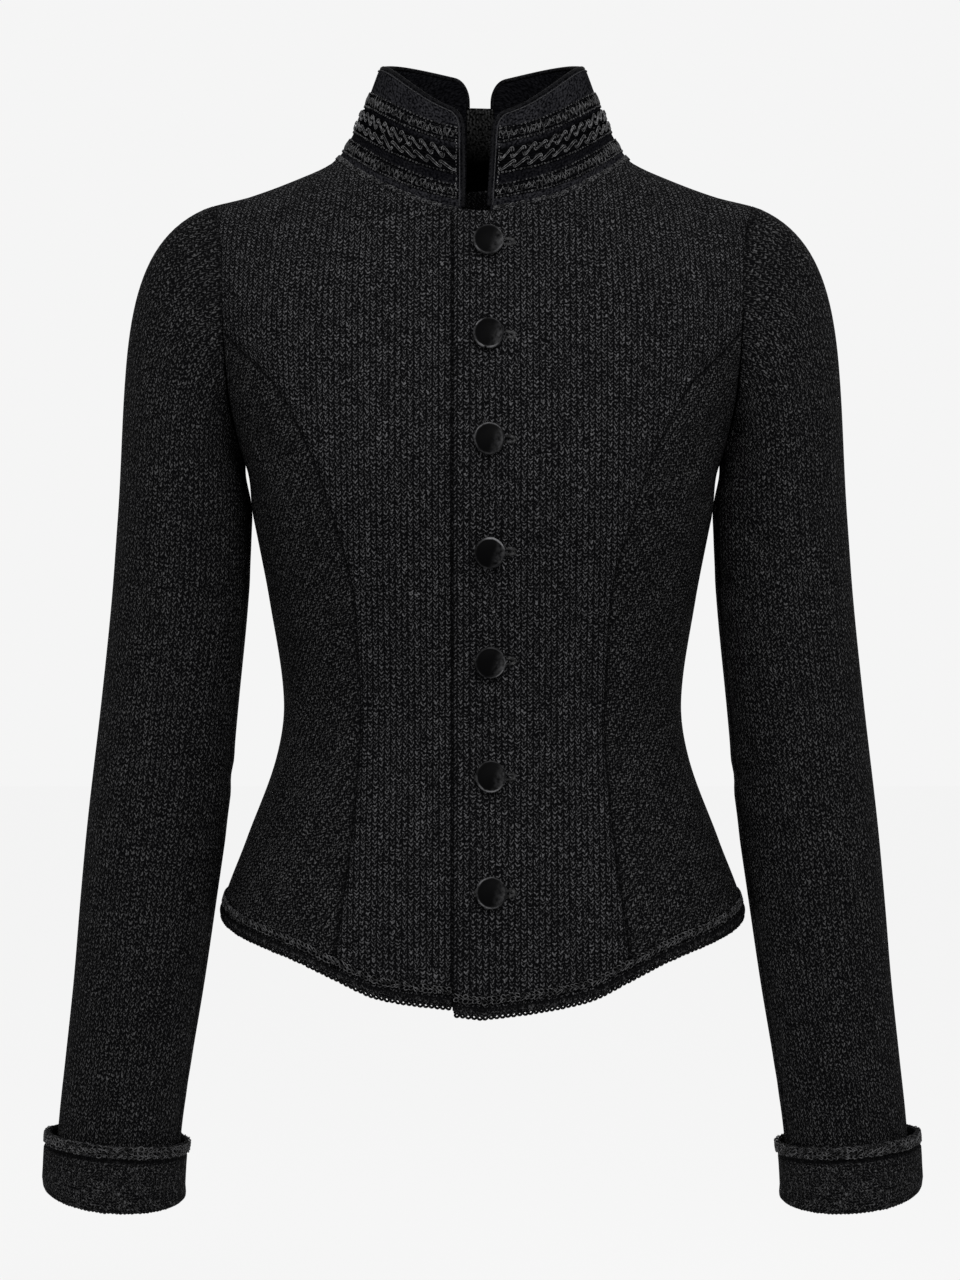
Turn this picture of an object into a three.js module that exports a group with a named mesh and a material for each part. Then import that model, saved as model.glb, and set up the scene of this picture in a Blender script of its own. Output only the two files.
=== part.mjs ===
// A fitted trachten jacket in knitted wool, held open in its worn shape.
// Millimetres, +Z up. The front faces -Y and the wearer's left is +X. The origin lies on the centre
// line, 3 mm above the line between the two points where the shoulder seams meet the collar.
//
// The body is one smooth surface, given by sections from the hem up. Every body panel is a patch of
// that surface between seam curves. Sleeves grow out of the armhole curve, the collar out of the neckline.
import * as THREE from "three";

// Cloth and seams
const clothThickness = 3;
const seamGap = 0.3;
const trimLift = 0.5;
const overlapReach = 18.8;
const overlapLift = clothThickness + 1.2;
const overlapFade = { from: 22, to: 52 };

// Sections of the body: height, half width at the side seams, depth of the front and of the back
// from the side seams, and how square the section is (2 is an ellipse)
const bodySections = [
  { z: -550, halfWidth: 171, front: 117, back: 121, square: 2.15 },
  { z: -484, halfWidth: 167, front: 111.5, back: 117, square: 2.15 },
  { z: -438, halfWidth: 151, front: 105, back: 108, square: 2.15 },
  { z: -387, halfWidth: 132.2, front: 97, back: 93, square: 2.15 },
  { z: -349, halfWidth: 127, front: 96, back: 86, square: 2.15 },
  { z: -285, halfWidth: 136, front: 108.5, back: 90, square: 2.3 },
  { z: -234, halfWidth: 145.6, front: 122, back: 97, square: 2.45 },
  { z: -200, halfWidth: 151, front: 124, back: 102, square: 2.5 },
  { z: -156, halfWidth: 165, front: 118, back: 105, square: 2.5 },
  { z: -105, halfWidth: 181, front: 105, back: 103, square: 2.45 },
  { z: -60, halfWidth: 186, front: 92, back: 96, square: 2.35 },
  { z: -20, halfWidth: 188, front: 86, back: 90, square: 2.3 },
  { z: 40, halfWidth: 190, front: 84, back: 88, square: 2.3 },
];

// The ridge of the shoulders, from the neck out, and how far below it the body has its full depth
const shoulderRidge = [
  { x: 0, z: 34 },
  { x: 55, z: 20 },
  { x: 88, z: 0.5 },
  { x: 100, z: -7.5 },
  { x: 113, z: -13.4 },
  { x: 140, z: -23.7 },
  { x: 172, z: -32.5 },
  { x: 200, z: -40 },
];
const shoulderRollDepth = 110;

// Armholes from the shoulder down to the side seam: height, and share of the way round from the centre
const frontArmhole = [
  { z: -32.5, turn: 0.741 },
  { z: -55, turn: 0.7 },
  { z: -80, turn: 0.697 },
  { z: -100, turn: 0.7085 },
  { z: -118, turn: 0.7353 },
  { z: -140, turn: 0.79 },
  { z: -160, turn: 0.8555 },
  { z: -178, turn: 0.918 },
  { z: -193, turn: 0.962 },
  { z: -200, turn: 1 },
];
const backArmhole = [
  { z: -32.5, turn: 0.741 },
  { z: -57, turn: 0.715 },
  { z: -84, turn: 0.72 },
  { z: -112, turn: 0.745 },
  { z: -136, turn: 0.785 },
  { z: -157, turn: 0.84 },
  { z: -175, turn: 0.9 },
  { z: -188, turn: 0.945 },
  { z: -197, turn: 0.977 },
  { z: -200, turn: 1 },
];
const armholeCentre = new THREE.Vector3(168, 0, -118);

// Curved seams from armhole to hem, by height and distance from the centre line
const frontSeam = [
  { z: -139, x: 143 },
  { z: -154, x: 128 },
  { z: -178, x: 114.6 },
  { z: -205, x: 102.5 },
  { z: -236, x: 92 },
  { z: -283, x: 79.5 },
  { z: -330, x: 76.8 },
  { z: -377, x: 76.5 },
  { z: -430, x: 81 },
  { z: -473, x: 86.5 },
  { z: -530, x: 93 },
];
const backSeam = [
  { z: -132, x: 146 },
  { z: -152, x: 128 },
  { z: -180, x: 112 },
  { z: -215, x: 97 },
  { z: -260, x: 82 },
  { z: -310, x: 72 },
  { z: -349, x: 68 },
  { z: -400, x: 70 },
  { z: -450, x: 76 },
  { z: -510, x: 83 },
];

// Hem by share of the way round, and the neckline
const hemLine = [
  { turn: 0, z: -535.6 },
  { turn: 0.244, z: -527.8 },
  { turn: 0.362, z: -516.6 },
  { turn: 0.487, z: -505.6 },
  { turn: 0.682, z: -495 },
  { turn: 1, z: -482.1 },
  { turn: 1.3, z: -477.6 },
  { turn: 1.6, z: -485 },
  { turn: 2, z: -500 },
];
const overDrop = { centre: 3.9, reach: 130 };
const hemSide = -482.1;
const neck = { halfWidth: 93.3, front: -47.3, back: -14, frontPower: 1.7, frontFullness: 0.8, backPower: 2 };

// Rows and columns of the patches
const bodyRows = 15;
const rowCrowding = 1.35;
const shoulderColumns = 3;
const frontNeckShares = [0, 0.025, 0.07, 0.18, 0.34, 0.54, 0.77, 1];
const backNeckShares = [0, 0.3, 0.6, 0.86, 0.955, 1];

// Collar, measured to the middle of its wall: its ends at the neckline and at the top, its top edge
const collarEnds = { leftFront: 5.2, rightFront: 13.9, leftBack: 8, rightBack: 11.2 };
const collarTopEnds = { leftFront: 8.9, rightFront: 13.9, leftBack: 8, rightBack: 11.2 };
const collarTop = { halfWidth: 66.3, front: 60, back: 52, side: 53.8, frontDrop: 37, backRise: 6.3, backDrop: 3 };
const collarCorner = { front: 10, back: 11 };
// The wall's rows by share of its height, and how far it hollows in between the flared foot and the top
const collarRows = [0, 0.12, 0.26, 0.46, 0.72, 1];
const collarHollow = { depth: 2.8, power: 0.65 };
const collarInsert = { thickness: 2.4, topShare: 0.775, rows: 3 };
// The braids by share of the collar's height at its sides, and how much higher they run at the front
const collarBraids = [
  { name: "low", from: 0.095, to: 0.235, frontRise: 0.04, thickness: 1.1 },
  { name: "mid", from: 0.315, to: 0.565, frontRise: 0.08, thickness: 1.5 },
  { name: "top", from: 0.6, to: 0.745, frontRise: 0.115, thickness: 1.1 },
];
const piping = { radius: 1.4, sides: 6, gap: 0.5, frontShares: [0.06, 0.35, 0.65, 1], aboveInsert: 0.02 };

// Sleeve below the cap: height, outer and inner reach, place of the middle and half depth
const sleeveSections = [
  { z: -234, outer: 233.3, inner: 147.4, middle: 0, halfDepth: 53 },
  { z: -285, outer: 237.1, inner: 149.8, middle: 0, halfDepth: 51.5 },
  { z: -349, outer: 243.5, inner: 155.8, middle: -1.5, halfDepth: 50 },
  { z: -425, outer: 251.9, inner: 162.8, middle: -5.5, halfDepth: 48 },
  { z: -476, outer: 256.3, inner: 169.6, middle: -9, halfDepth: 45.5 },
  { z: -527, outer: 260.1, inner: 177, middle: -12.5, halfDepth: 43 },
  { z: -577, outer: 264.9, inner: 185.4, middle: -16, halfDepth: 41 },
  { z: -616, outer: 268.7, inner: 190.9, middle: -19, halfDepth: 39.5 },
  { z: -662, outer: 271.5, inner: 194.5, middle: -22, halfDepth: 39 },
];
const sleeveCap = { rows: 6, startPull: 0.98, endPull: 1.34, topSlope: 19.5, underSlope: 84 };
const sleeveRows = 7;
const sleeveTilt = { from: -480, to: -616, frontDrop: 7, outerRise: 3.6 };
const sleeveSeams = { front: 8, back: 14 };

// Turned-back cuff: distance out from the sleeve and height above the cuff's foot. It hangs further
// from the sleeve on the outside of the arm than on the inside, and its top edge is more level than
// its foot: lower by topDrop at the sides, and by topLevel less at the front.
const cuff = { bottom: -660.5, height: 42, stations: 20, shift: 1.5, turnIn: 8, topDrop: 5.5, topLevel: 5.8 };
const cuffProfile = [
  { out: -3, up: 0.5 },
  { out: 3.9, up: 0 },
  { out: 5.9, up: 1.2 },
  { out: 6.6, up: 4 },
  { out: 6.6, up: 40 },
  { out: 6, up: 41.6 },
  { out: 5.1, up: 42 },
  { out: 4.1, up: 41.6 },
  { out: 3.6, up: 40 },
  { out: 3.6, up: 4.6 },
  { out: 2.7, up: 3.3 },
  { out: -3, up: 3.3 },
];
const cuffBraidProfile = [
  { out: 6.9, up: 34.6 },
  { out: 7.9, up: 35.3 },
  { out: 7.9, up: 40.2 },
  { out: 6.9, up: 41 },
];
const sleeveEndAboveCuff = 3.7;

// Trim along the hem: height above the cloth's edge and thickness
const hemTrims = [
  { name: "hem_edge", from: -2.4, to: 5.1, thickness: 1 },
  { name: "hem_braid", from: 6.3, to: 11.7, thickness: 1 },
];

// Buttons: heights of their centres, place across, and the profile of one
const buttonHeights = [-67.2, -125.4, -189.1, -255.4, -322.7, -395, -465.6];
const buttonAcross = { top: 3.4, bottom: 5.2 };
const buttonProfile = [
  { radius: 0, up: 0 },
  { radius: 2.6, up: 0 },
  { radius: 2.6, up: 1.2 },
  { radius: 8.4, up: 1.2 },
  { radius: 9.5, up: 2.2 },
  { radius: 9.5, up: 3.5 },
  { radius: 8.3, up: 4.9 },
  { radius: 4.6, up: 6 },
  { radius: 0, up: 6.4 },
];
const buttonSegments = 14;
const buttonLift = 0.6;

const colours = {
  knit: new THREE.MeshStandardMaterial({ color: 0x1b1b1c, roughness: 0.95, metalness: 0, name: "knit" }),
  collar: new THREE.MeshStandardMaterial({ color: 0x141417, roughness: 0.85, metalness: 0, name: "collar_cloth" }),
  braid: new THREE.MeshStandardMaterial({ color: 0x2a2a2c, roughness: 0.6, metalness: 0, name: "braid" }),
  rib: new THREE.MeshStandardMaterial({ color: 0x121213, roughness: 0.9, metalness: 0, name: "rib" }),
  piping: new THREE.MeshStandardMaterial({ color: 0x1c1c20, roughness: 0.6, metalness: 0, name: "piping" }),
  button: new THREE.MeshStandardMaterial({ color: 0x121212, roughness: 0.45, metalness: 0, name: "button" }),
};

const quarterTurn = Math.PI / 2;
const mix = (a, b, share) => a + (b - a) * share;
const smoothStep = (from, to, value) => {
  const t = THREE.MathUtils.clamp((value - from) / (to - from), 0, 1);
  return t * t * (3 - 2 * t);
};
const series = (count, make) => Array.from({ length: count }, (_, i) => make(i));

// Smooth cubic through a table's column, read at a value of its key column, whose slopes are those
// between each row's neighbours
function readTable(table, key, column, value) {
  const rising = table[1][key] > table[0][key];
  const last = table.length - 2;
  let row = table.findIndex((r, i) => i > 0 && (rising ? value <= r[key] : value >= r[key])) - 1;
  if (row < 0) row = last;
  const slopeAt = (i) => {
    const low = table[Math.max(i - 1, 0)];
    const high = table[Math.min(i + 1, table.length - 1)];
    return (high[column] - low[column]) / (high[key] - low[key]);
  };
  const step = table[row + 1][key] - table[row][key];
  const t = THREE.MathUtils.clamp((value - table[row][key]) / step, 0, 1);
  const start = table[row][column];
  const end = table[row + 1][column];
  return (2 * t ** 3 - 3 * t ** 2 + 1) * start + (3 * t ** 2 - 2 * t ** 3) * end
    + (t ** 3 - 2 * t ** 2 + t) * step * slopeAt(row) + (t ** 3 - t ** 2) * step * slopeAt(row + 1);
}

const ridgeHeight = (x) => readTable(shoulderRidge, "x", "z", Math.abs(x));

// The body's outer surface. turn runs from 0 at the centre front through 1 at the left side seam to
// 2 at the centre back, and is negative on the right.
function bodyPoint(turn, z) {
  const wrapped = turn > 2 ? turn - 4 : turn < -2 ? turn + 4 : turn;
  const isBack = Math.abs(wrapped) > 1;
  const quarter = isBack ? 2 - Math.abs(wrapped) : Math.abs(wrapped);
  const read = (column) => readTable(bodySections, "z", column, z);
  const across = Math.sin(quarter * quarterTurn);
  const x = read("halfWidth") * across;
  const square = read("square");
  const below = THREE.MathUtils.clamp((ridgeHeight(x) - z) / shoulderRollDepth, 0, 1);
  const roll = Math.sqrt(1 - (1 - below) ** 2);
  const depth = (isBack ? read("back") : -read("front")) * (1 - across ** square) ** (1 / square) * roll;
  return new THREE.Vector3(Math.sign(wrapped) * x, depth, z);
}

function bodyNormal(turn, z) {
  const step = { turn: 0.002, z: 0.4 };
  const round = bodyPoint(turn + step.turn, z).sub(bodyPoint(turn - step.turn, z));
  const up = bodyPoint(turn, z + step.z).sub(bodyPoint(turn, z - step.z));
  const normal = round.cross(up);
  const nearRidge = z > ridgeHeight(bodyPoint(turn, z).x) - 2 * step.z;
  if (nearRidge) normal.y = 0;
  return normal.normalize();
}

const turnAt = (x, z) => Math.asin(x / readTable(bodySections, "z", "halfWidth", z)) / quarterTurn;

// How far the overlapping front stands out from the body's surface
const liftAt = (x) => overlapLift * (1 - smoothStep(overlapFade.from, overlapFade.to, x));

// Height of the cloth's edge at the hem, which hangs lower at the middle of the overlapping front
function hemHeight(turn, over) {
  const height = readTable(hemLine, "turn", "z", Math.abs(turn));
  if (!over || Math.abs(turn) > 1) return height;
  const x = bodyPoint(turn, height).x;
  return height - overDrop.centre * (1 - smoothStep(0, overDrop.reach, x));
}

// The neckline by angle round the neck, from 0 at the centre front to 180 degrees at the centre back.
// At the front it rises as a full curve, steepest at the shoulder.
function necklinePlace(angle, isBack = angle > quarterTurn) {
  const x = neck.halfWidth * Math.sin(angle);
  const share = Math.min(Math.abs(x) / neck.halfWidth, 1);
  const top = ridgeHeight(neck.halfWidth);
  const z = isBack
    ? mix(neck.back, top, share ** neck.backPower)
    : mix(neck.front, top, 1 - (1 - share ** neck.frontPower) ** neck.frontFullness);
  const turn = turnAt(x, z);
  return { turn: isBack ? 2 - turn : turn, z };
}

const neckAngle = (x, isBack) => (isBack ? Math.PI - Math.asin(x / neck.halfWidth) : Math.asin(x / neck.halfWidth));

function shoulderPlace(share, isBack) {
  const x = mix(neck.halfWidth, 172, share);
  const z = ridgeHeight(x);
  return { turn: isBack ? 2 - turnAt(x, z) : turnAt(x, z), z };
}

const armholePlace = (table, row, isBack) => ({ turn: isBack ? 2 - table[row].turn : table[row].turn, z: table[row].z });

// Even steps along a seam given by a table, from its armhole point down to the hem, crowded at the top
function seamPlaces(seam, start, isBack, over) {
  const placeAt = (z) => {
    const turn = turnAt(readTable(seam, "z", "x", z), z);
    return { turn: isBack ? 2 - turn : turn, z };
  };
  let foot = placeAt(hemSide - 30);
  for (let i = 0; i < 6; i += 1) foot = placeAt(hemHeight(foot.turn, over));
  const rows = series(bodyRows + 1, (i) => (i / bodyRows) ** rowCrowding);
  const table = [{ ...start }, ...seam.filter((r) => r.z > foot.z + 8).map((r) => placeAt(r.z)), foot];
  const lengths = [0];
  for (let i = 1; i < table.length; i += 1) {
    const step = bodyPoint(table[i].turn, table[i].z).distanceTo(bodyPoint(table[i - 1].turn, table[i - 1].z));
    lengths.push(lengths[i - 1] + step);
  }
  const keyed = table.map((place, i) => ({ ...place, along: lengths[i] / lengths.at(-1) }));
  return rows.map((along) => ({
    turn: readTable(keyed, "along", "turn", along),
    z: readTable(keyed, "along", "z", along),
  }));
}

// A patch of the body between four rows of places: top and bottom run across, left and right run down
function patch({ top, bottom, left, right }) {
  const columns = top.length - 1;
  const rows = left.length - 1;
  const blend = (key, u, v, i, j) =>
    (1 - v) * top[i][key] + v * bottom[i][key] + (1 - u) * left[j][key] + u * right[j][key]
    - (1 - u) * (1 - v) * top[0][key] - u * (1 - v) * top[columns][key]
    - (1 - u) * v * bottom[0][key] - u * v * bottom[columns][key];
  return series(rows + 1, (j) =>
    series(columns + 1, (i) => {
      const v = (left[j].z - left[0].z) / (left[rows].z - left[0].z);
      const place = (key) => blend(key, i / columns, v, i, j);
      return { turn: place("turn"), z: place("z") };
    }),
  );
}

// Moves the vertices of a patch's edges inwards across the seam by half the seam's gap
function pullIn(grid, edges) {
  const rows = grid.length - 1;
  const columns = grid[0].length - 1;
  const moved = grid.map((row) => row.map((point) => point.clone()));
  const shift = (j, i, nextJ, nextI, alongJ, alongI) => {
    const inside = grid[nextJ][nextI].clone().sub(grid[j][i]);
    const clampJ = (value) => THREE.MathUtils.clamp(value, 0, rows);
    const clampI = (value) => THREE.MathUtils.clamp(value, 0, columns);
    const ahead = grid[clampJ(j + alongJ)][clampI(i + alongI)];
    const behind = grid[clampJ(j - alongJ)][clampI(i - alongI)];
    const seam = ahead.clone().sub(behind).normalize();
    inside.addScaledVector(seam, -inside.dot(seam)).normalize();
    moved[j][i].addScaledVector(inside, seamGap / 2);
  };
  for (let j = 0; j <= rows; j += 1) {
    if (edges.left) shift(j, 0, j, 1, 1, 0);
    if (edges.right) shift(j, columns, j, columns - 1, 1, 0);
  }
  for (const [from, to] of edges.top ?? []) {
    for (let i = from; i <= to; i += 1) shift(0, i, 1, i, 0, 1);
  }
  return moved;
}

// A closed solid from points and triangles, turned so that its faces point out
function solid(points, triangles) {
  let volume = 0;
  for (const [a, b, c] of triangles) volume += points[a].dot(points[b].clone().cross(points[c]));
  const faces = volume < 0 ? triangles.map(([a, b, c]) => [a, c, b]) : triangles;
  const geometry = new THREE.BufferGeometry();
  geometry.setAttribute("position", new THREE.Float32BufferAttribute(points.flatMap((p) => p.toArray()), 3));
  geometry.setIndex(faces.flat());
  geometry.computeVertexNormals();
  return geometry;
}

// A wall between an outer and an inner grid of points
function wall(outer, inner) {
  const rows = outer.length;
  const columns = outer[0].length;
  const points = [...outer.flat(), ...inner.flat()];
  const at = (layer, j, i) => (layer * rows + j) * columns + i;
  const triangles = [];
  const quad = (a, b, c, d) => triangles.push([a, b, c], [a, c, d]);
  for (let j = 0; j < rows - 1; j += 1) {
    for (let i = 0; i < columns - 1; i += 1) {
      quad(at(0, j, i), at(0, j, i + 1), at(0, j + 1, i + 1), at(0, j + 1, i));
      quad(at(1, j, i), at(1, j + 1, i), at(1, j + 1, i + 1), at(1, j, i + 1));
    }
  }
  const rim = [
    ...series(columns - 1, (i) => [0, i]),
    ...series(rows - 1, (j) => [j, columns - 1]),
    ...series(columns - 1, (i) => [rows - 1, columns - 1 - i]),
    ...series(rows - 1, (j) => [rows - 1 - j, 0]),
  ];
  rim.forEach(([j, i], n) => {
    const [nextJ, nextI] = rim[(n + 1) % rim.length];
    quad(at(0, nextJ, nextI), at(0, j, i), at(1, j, i), at(1, nextJ, nextI));
  });
  return solid(points, triangles);
}

// A solid carried from station to station: each station is a closed outline of points
function carried(stations, closed) {
  const size = stations[0].length;
  const points = stations.flat();
  const triangles = [];
  const spans = closed ? stations.length : stations.length - 1;
  for (let s = 0; s < spans; s += 1) {
    const next = (s + 1) % stations.length;
    for (let i = 0; i < size; i += 1) {
      const j = (i + 1) % size;
      const corners = [s * size + i, s * size + j, next * size + j, next * size + i];
      triangles.push([corners[0], corners[1], corners[2]], [corners[0], corners[2], corners[3]]);
    }
  }
  if (!closed) {
    const last = (stations.length - 1) * size;
    for (let i = 1; i < size - 1; i += 1) {
      triangles.push([0, i + 1, i], [last, last + i, last + i + 1]);
    }
  }
  return solid(points, triangles);
}

function panelWall(places, edges, lift) {
  const outer = places.map((row) =>
    row.map(({ turn, z }) => {
      const point = bodyPoint(turn, z);
      return point.addScaledVector(bodyNormal(turn, z), lift ? liftAt(point.x) : 0);
    }),
  );
  const inner = outer.map((row, j) =>
    row.map((point, i) => point.clone().addScaledVector(bodyNormal(places[j][i].turn, places[j][i].z), -clothThickness)),
  );
  return wall(pullIn(outer, edges), pullIn(inner, edges));
}

const spread = (from, to, columns) =>
  series(columns + 1, (i) => ({ turn: mix(from.turn, to.turn, i / columns), z: mix(from.z, to.z, i / columns) }));

// The places of one half's seams and edges, in the half where x is positive
function halfOutline(over) {
  const endX = over ? collarEnds.leftFront : collarEnds.rightFront;
  const backEndX = over ? collarEnds.leftBack : collarEnds.rightBack;
  const neckStart = neckAngle(-overlapReach, false);
  const neckAngles = {
    front: frontNeckShares.map((share) => mix(neckAngle(endX, false), quarterTurn, share)),
    back: backNeckShares.map((share) => mix(quarterTurn, neckAngle(backEndX, true), share)),
  };
  const princessRow = 4;
  const backSeamRow = 3;
  const frontStart = armholePlace(frontArmhole, princessRow, false);
  const backStart = armholePlace(backArmhole, backSeamRow, true);
  const frontSeamPlaces = seamPlaces(frontSeam, frontStart, false, over);
  const backSeamPlaces = seamPlaces(backSeam, backStart, true, over);
  const centreTop = necklinePlace(neckStart);
  const centreFoot = { turn: turnAt(-overlapReach, hemSide), z: 0 };
  centreFoot.z = hemHeight(centreFoot.turn, over);
  const centreEdge = frontSeamPlaces.map((_, j) => {
    const z = mix(centreTop.z, centreFoot.z, (j / bodyRows) ** rowCrowding);
    return { turn: turnAt(-overlapReach, z), z };
  });
  const sideSeam = series(bodyRows + 1, (j) => ({
    turn: 1,
    z: mix(frontArmhole.at(-1).z, hemSide, (j / bodyRows) ** rowCrowding),
  }));
  const frontTop = [
    centreTop,
    ...neckAngles.front.map((angle) => necklinePlace(angle, false)),
    ...series(shoulderColumns, (i) => shoulderPlace((i + 1) / shoulderColumns, false)),
    ...series(princessRow, (i) => armholePlace(frontArmhole, i + 1, false)),
  ];
  const backTop = [
    ...neckAngles.back.map((angle) => necklinePlace(angle, true)).reverse(),
    ...series(shoulderColumns, (i) => shoulderPlace((i + 1) / shoulderColumns, true)),
    ...series(backSeamRow, (i) => armholePlace(backArmhole, i + 1, true)),
  ];
  return { neckAngles, frontTop, backTop, frontSeamPlaces, backSeamPlaces, centreEdge, sideSeam, princessRow, backSeamRow };
}

const hemRow = (from, to, columns, over) =>
  spread(from, to, columns).map(({ turn }) => ({ turn, z: hemHeight(turn, over) }));

function frontPanel(outline, over) {
  const columns = outline.frontTop.length - 1;
  const bottom = hemRow(outline.centreEdge.at(-1), outline.frontSeamPlaces.at(-1), columns, over);
  const places = patch({
    top: outline.frontTop,
    bottom,
    left: outline.centreEdge,
    right: outline.frontSeamPlaces,
  });
  const shoulderStart = frontNeckShares.length;
  return panelWall(places, { right: true, top: [[shoulderStart, shoulderStart + shoulderColumns]] }, over);
}

function sidePanel(outline, over, isBack) {
  const seam = isBack ? outline.backSeamPlaces : outline.frontSeamPlaces;
  const armhole = isBack ? backArmhole : frontArmhole;
  const first = isBack ? outline.backSeamRow : outline.princessRow;
  const top = series(armhole.length - first, (i) => armholePlace(armhole, first + i, isBack));
  const bottom = hemRow(seam.at(-1), { turn: 1, z: hemSide }, top.length - 1, over);
  return panelWall(patch({ top, bottom, left: seam, right: outline.sideSeam }), { left: true, right: true }, false);
}

function backPanel(leftOutline, rightOutline) {
  const mirrored = (places) => places.map(({ turn, z }) => ({ turn: 4 - turn, z }));
  const top = [...leftOutline.backTop].reverse().concat(mirrored(rightOutline.backTop));
  const left = leftOutline.backSeamPlaces;
  const right = mirrored(rightOutline.backSeamPlaces);
  const columns = top.length - 1;
  const bottom = spread(left.at(-1), right.at(-1), columns).map(({ turn }) => ({
    turn,
    z: hemHeight(turn > 2 ? 4 - turn : turn, false),
  }));
  const armColumns = leftOutline.backSeamRow;
  const edges = {
    left: true,
    right: true,
    top: [[armColumns, armColumns + shoulderColumns], [columns - armColumns - shoulderColumns, columns - armColumns]],
  };
  return panelWall(patch({ top, bottom, left, right }), edges, false);
}

// The edge of a piece sewn to the edge of the body: it leaves the seam in the direction heading, so
// its wall turns about the seam by the angle between that direction and the body's surface
function sewnEdge(point, normal, along, openingCentre, heading) {
  const into = openingCentre.clone().sub(point);
  into.addScaledVector(normal, -into.dot(normal)).addScaledVector(along, -into.dot(along)).normalize();
  const flat = heading.clone().addScaledVector(along, -heading.dot(along));
  const angle = THREE.MathUtils.clamp(Math.atan2(flat.dot(normal), flat.dot(into)), 0, Math.PI);
  const outer = point.clone()
    .addScaledVector(into, seamGap * Math.cos(angle / 2))
    .addScaledVector(normal, seamGap * Math.sin(angle / 2));
  const inner = outer.clone()
    .addScaledVector(into, clothThickness * Math.sin(angle))
    .addScaledVector(normal, -clothThickness * Math.cos(angle));
  return { outer, inner };
}

// A point of the sleeve below its cap: angle runs from 0 outside through a quarter turn in front
function sleevePoint(z, angle) {
  const read = (column) => readTable(sleeveSections, "z", column, z);
  const middleX = (read("outer") + read("inner")) / 2;
  const halfWidth = (read("outer") - read("inner")) / 2;
  const tilt = smoothStep(-sleeveTilt.from, -sleeveTilt.to, -z);
  return new THREE.Vector3(
    middleX + halfWidth * Math.cos(angle),
    read("middle") - read("halfDepth") * Math.sin(angle),
    z + tilt * (sleeveTilt.outerRise * Math.cos(angle) - sleeveTilt.frontDrop * Math.sin(angle)),
  );
}

// The armhole's points from the shoulder down the front, under the arm and up the back
function armholeLoop() {
  const front = frontArmhole.map((_, row) => armholePlace(frontArmhole, row, false));
  const back = backArmhole.slice(1, -1).map((_, row) => armholePlace(backArmhole, row + 1, true)).reverse();
  const places = [...front, ...back];
  const points = places.map(({ turn, z }) => bodyPoint(turn, z));
  const steps = points.map((point, i) => point.distanceTo(points[(i + 1) % points.length]));
  const underarm = front.length - 1;
  const sum = (list) => list.reduce((total, value) => total + value, 0);
  const frontLength = sum(steps.slice(0, underarm));
  const backLength = sum(steps.slice(underarm));
  const angles = places.map((_, i) =>
    i <= underarm
      ? (Math.PI * sum(steps.slice(0, i))) / frontLength
      : Math.PI + (Math.PI * sum(steps.slice(underarm, i))) / backLength,
  );
  return { places, points, angles };
}

function sleeveGrids() {
  const { places, points, angles } = armholeLoop();
  const count = points.length;
  const capFoot = sleeveSections[0].z;
  const sleeveFoot = cuff.bottom + sleeveEndAboveCuff;
  const edges = points.map((point, i) => {
    const along = points[(i + 1) % count].clone().sub(points[(i + count - 1) % count]).normalize();
    const down = (1 - Math.cos(angles[i])) / 2;
    const slope = THREE.MathUtils.degToRad(mix(sleeveCap.topSlope, sleeveCap.underSlope, down ** 1.5));
    const heading = new THREE.Vector3(Math.cos(slope), 0, -Math.sin(slope));
    return { ...sewnEdge(point, bodyNormal(places[i].turn, places[i].z), along, armholeCentre, heading), heading };
  });
  const capRow = (t) =>
    edges.map(({ outer, heading }, i) => {
      const foot = sleevePoint(capFoot, angles[i]);
      const down = sleevePoint(capFoot - 4, angles[i]).sub(foot).normalize();
      const reach = outer.distanceTo(foot);
      return outer.clone().multiplyScalar(2 * t ** 3 - 3 * t ** 2 + 1)
        .addScaledVector(foot, 3 * t ** 2 - 2 * t ** 3)
        .addScaledVector(heading, (t ** 3 - 2 * t ** 2 + t) * reach * sleeveCap.startPull)
        .addScaledVector(down, (t ** 3 - t ** 2) * reach * sleeveCap.endPull);
    });
  const outer = [
    ...series(sleeveCap.rows, (j) => capRow(j / sleeveCap.rows)),
    ...series(sleeveRows + 1, (j) => angles.map((angle) => sleevePoint(mix(capFoot, sleeveFoot, j / sleeveRows), angle))),
  ];
  const inner = outer.map((row, j) =>
    row.map((point, i) => {
      if (j === 0) return edges[i].inner;
      const round = row[(i + 1) % count].clone().sub(row[(i + count - 1) % count]);
      const down = outer[Math.min(j + 1, outer.length - 1)][i].clone().sub(outer[j - 1][i]);
      return point.clone().addScaledVector(down.cross(round).normalize(), clothThickness);
    }),
  );
  return { outer, inner, count };
}

function sleevePiece(grids, from, to) {
  const columns = (grid) => grid.map((row) => series(to - from + 1, (i) => row[(from + i) % grids.count]));
  const edges = { left: true, right: true };
  return wall(pullIn(columns(grids.outer), edges), pullIn(columns(grids.inner), edges));
}

function cuffRing(profile) {
  const stations = series(cuff.stations, (s) => {
    const angle = (2 * Math.PI * s) / cuff.stations;
    return profile.map(({ out, up }) => {
      const z = cuff.bottom + up;
      const width = sleevePoint(z, 0).x - sleevePoint(z, Math.PI).x;
      const depth = 2 * readTable(sleeveSections, "z", "halfDepth", z);
      const away = new THREE.Vector3(Math.cos(angle) * depth, -Math.sin(angle) * width, 0).normalize();
      const point = sleevePoint(z, angle).addScaledVector(away, out);
      point.x += cuff.shift * smoothStep(0, cuff.turnIn, up);
      point.z -= (up / cuff.height) * (cuff.topDrop - cuff.topLevel * Math.sin(angle));
      return point;
    });
  });
  return carried(stations, true);
}

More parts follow.
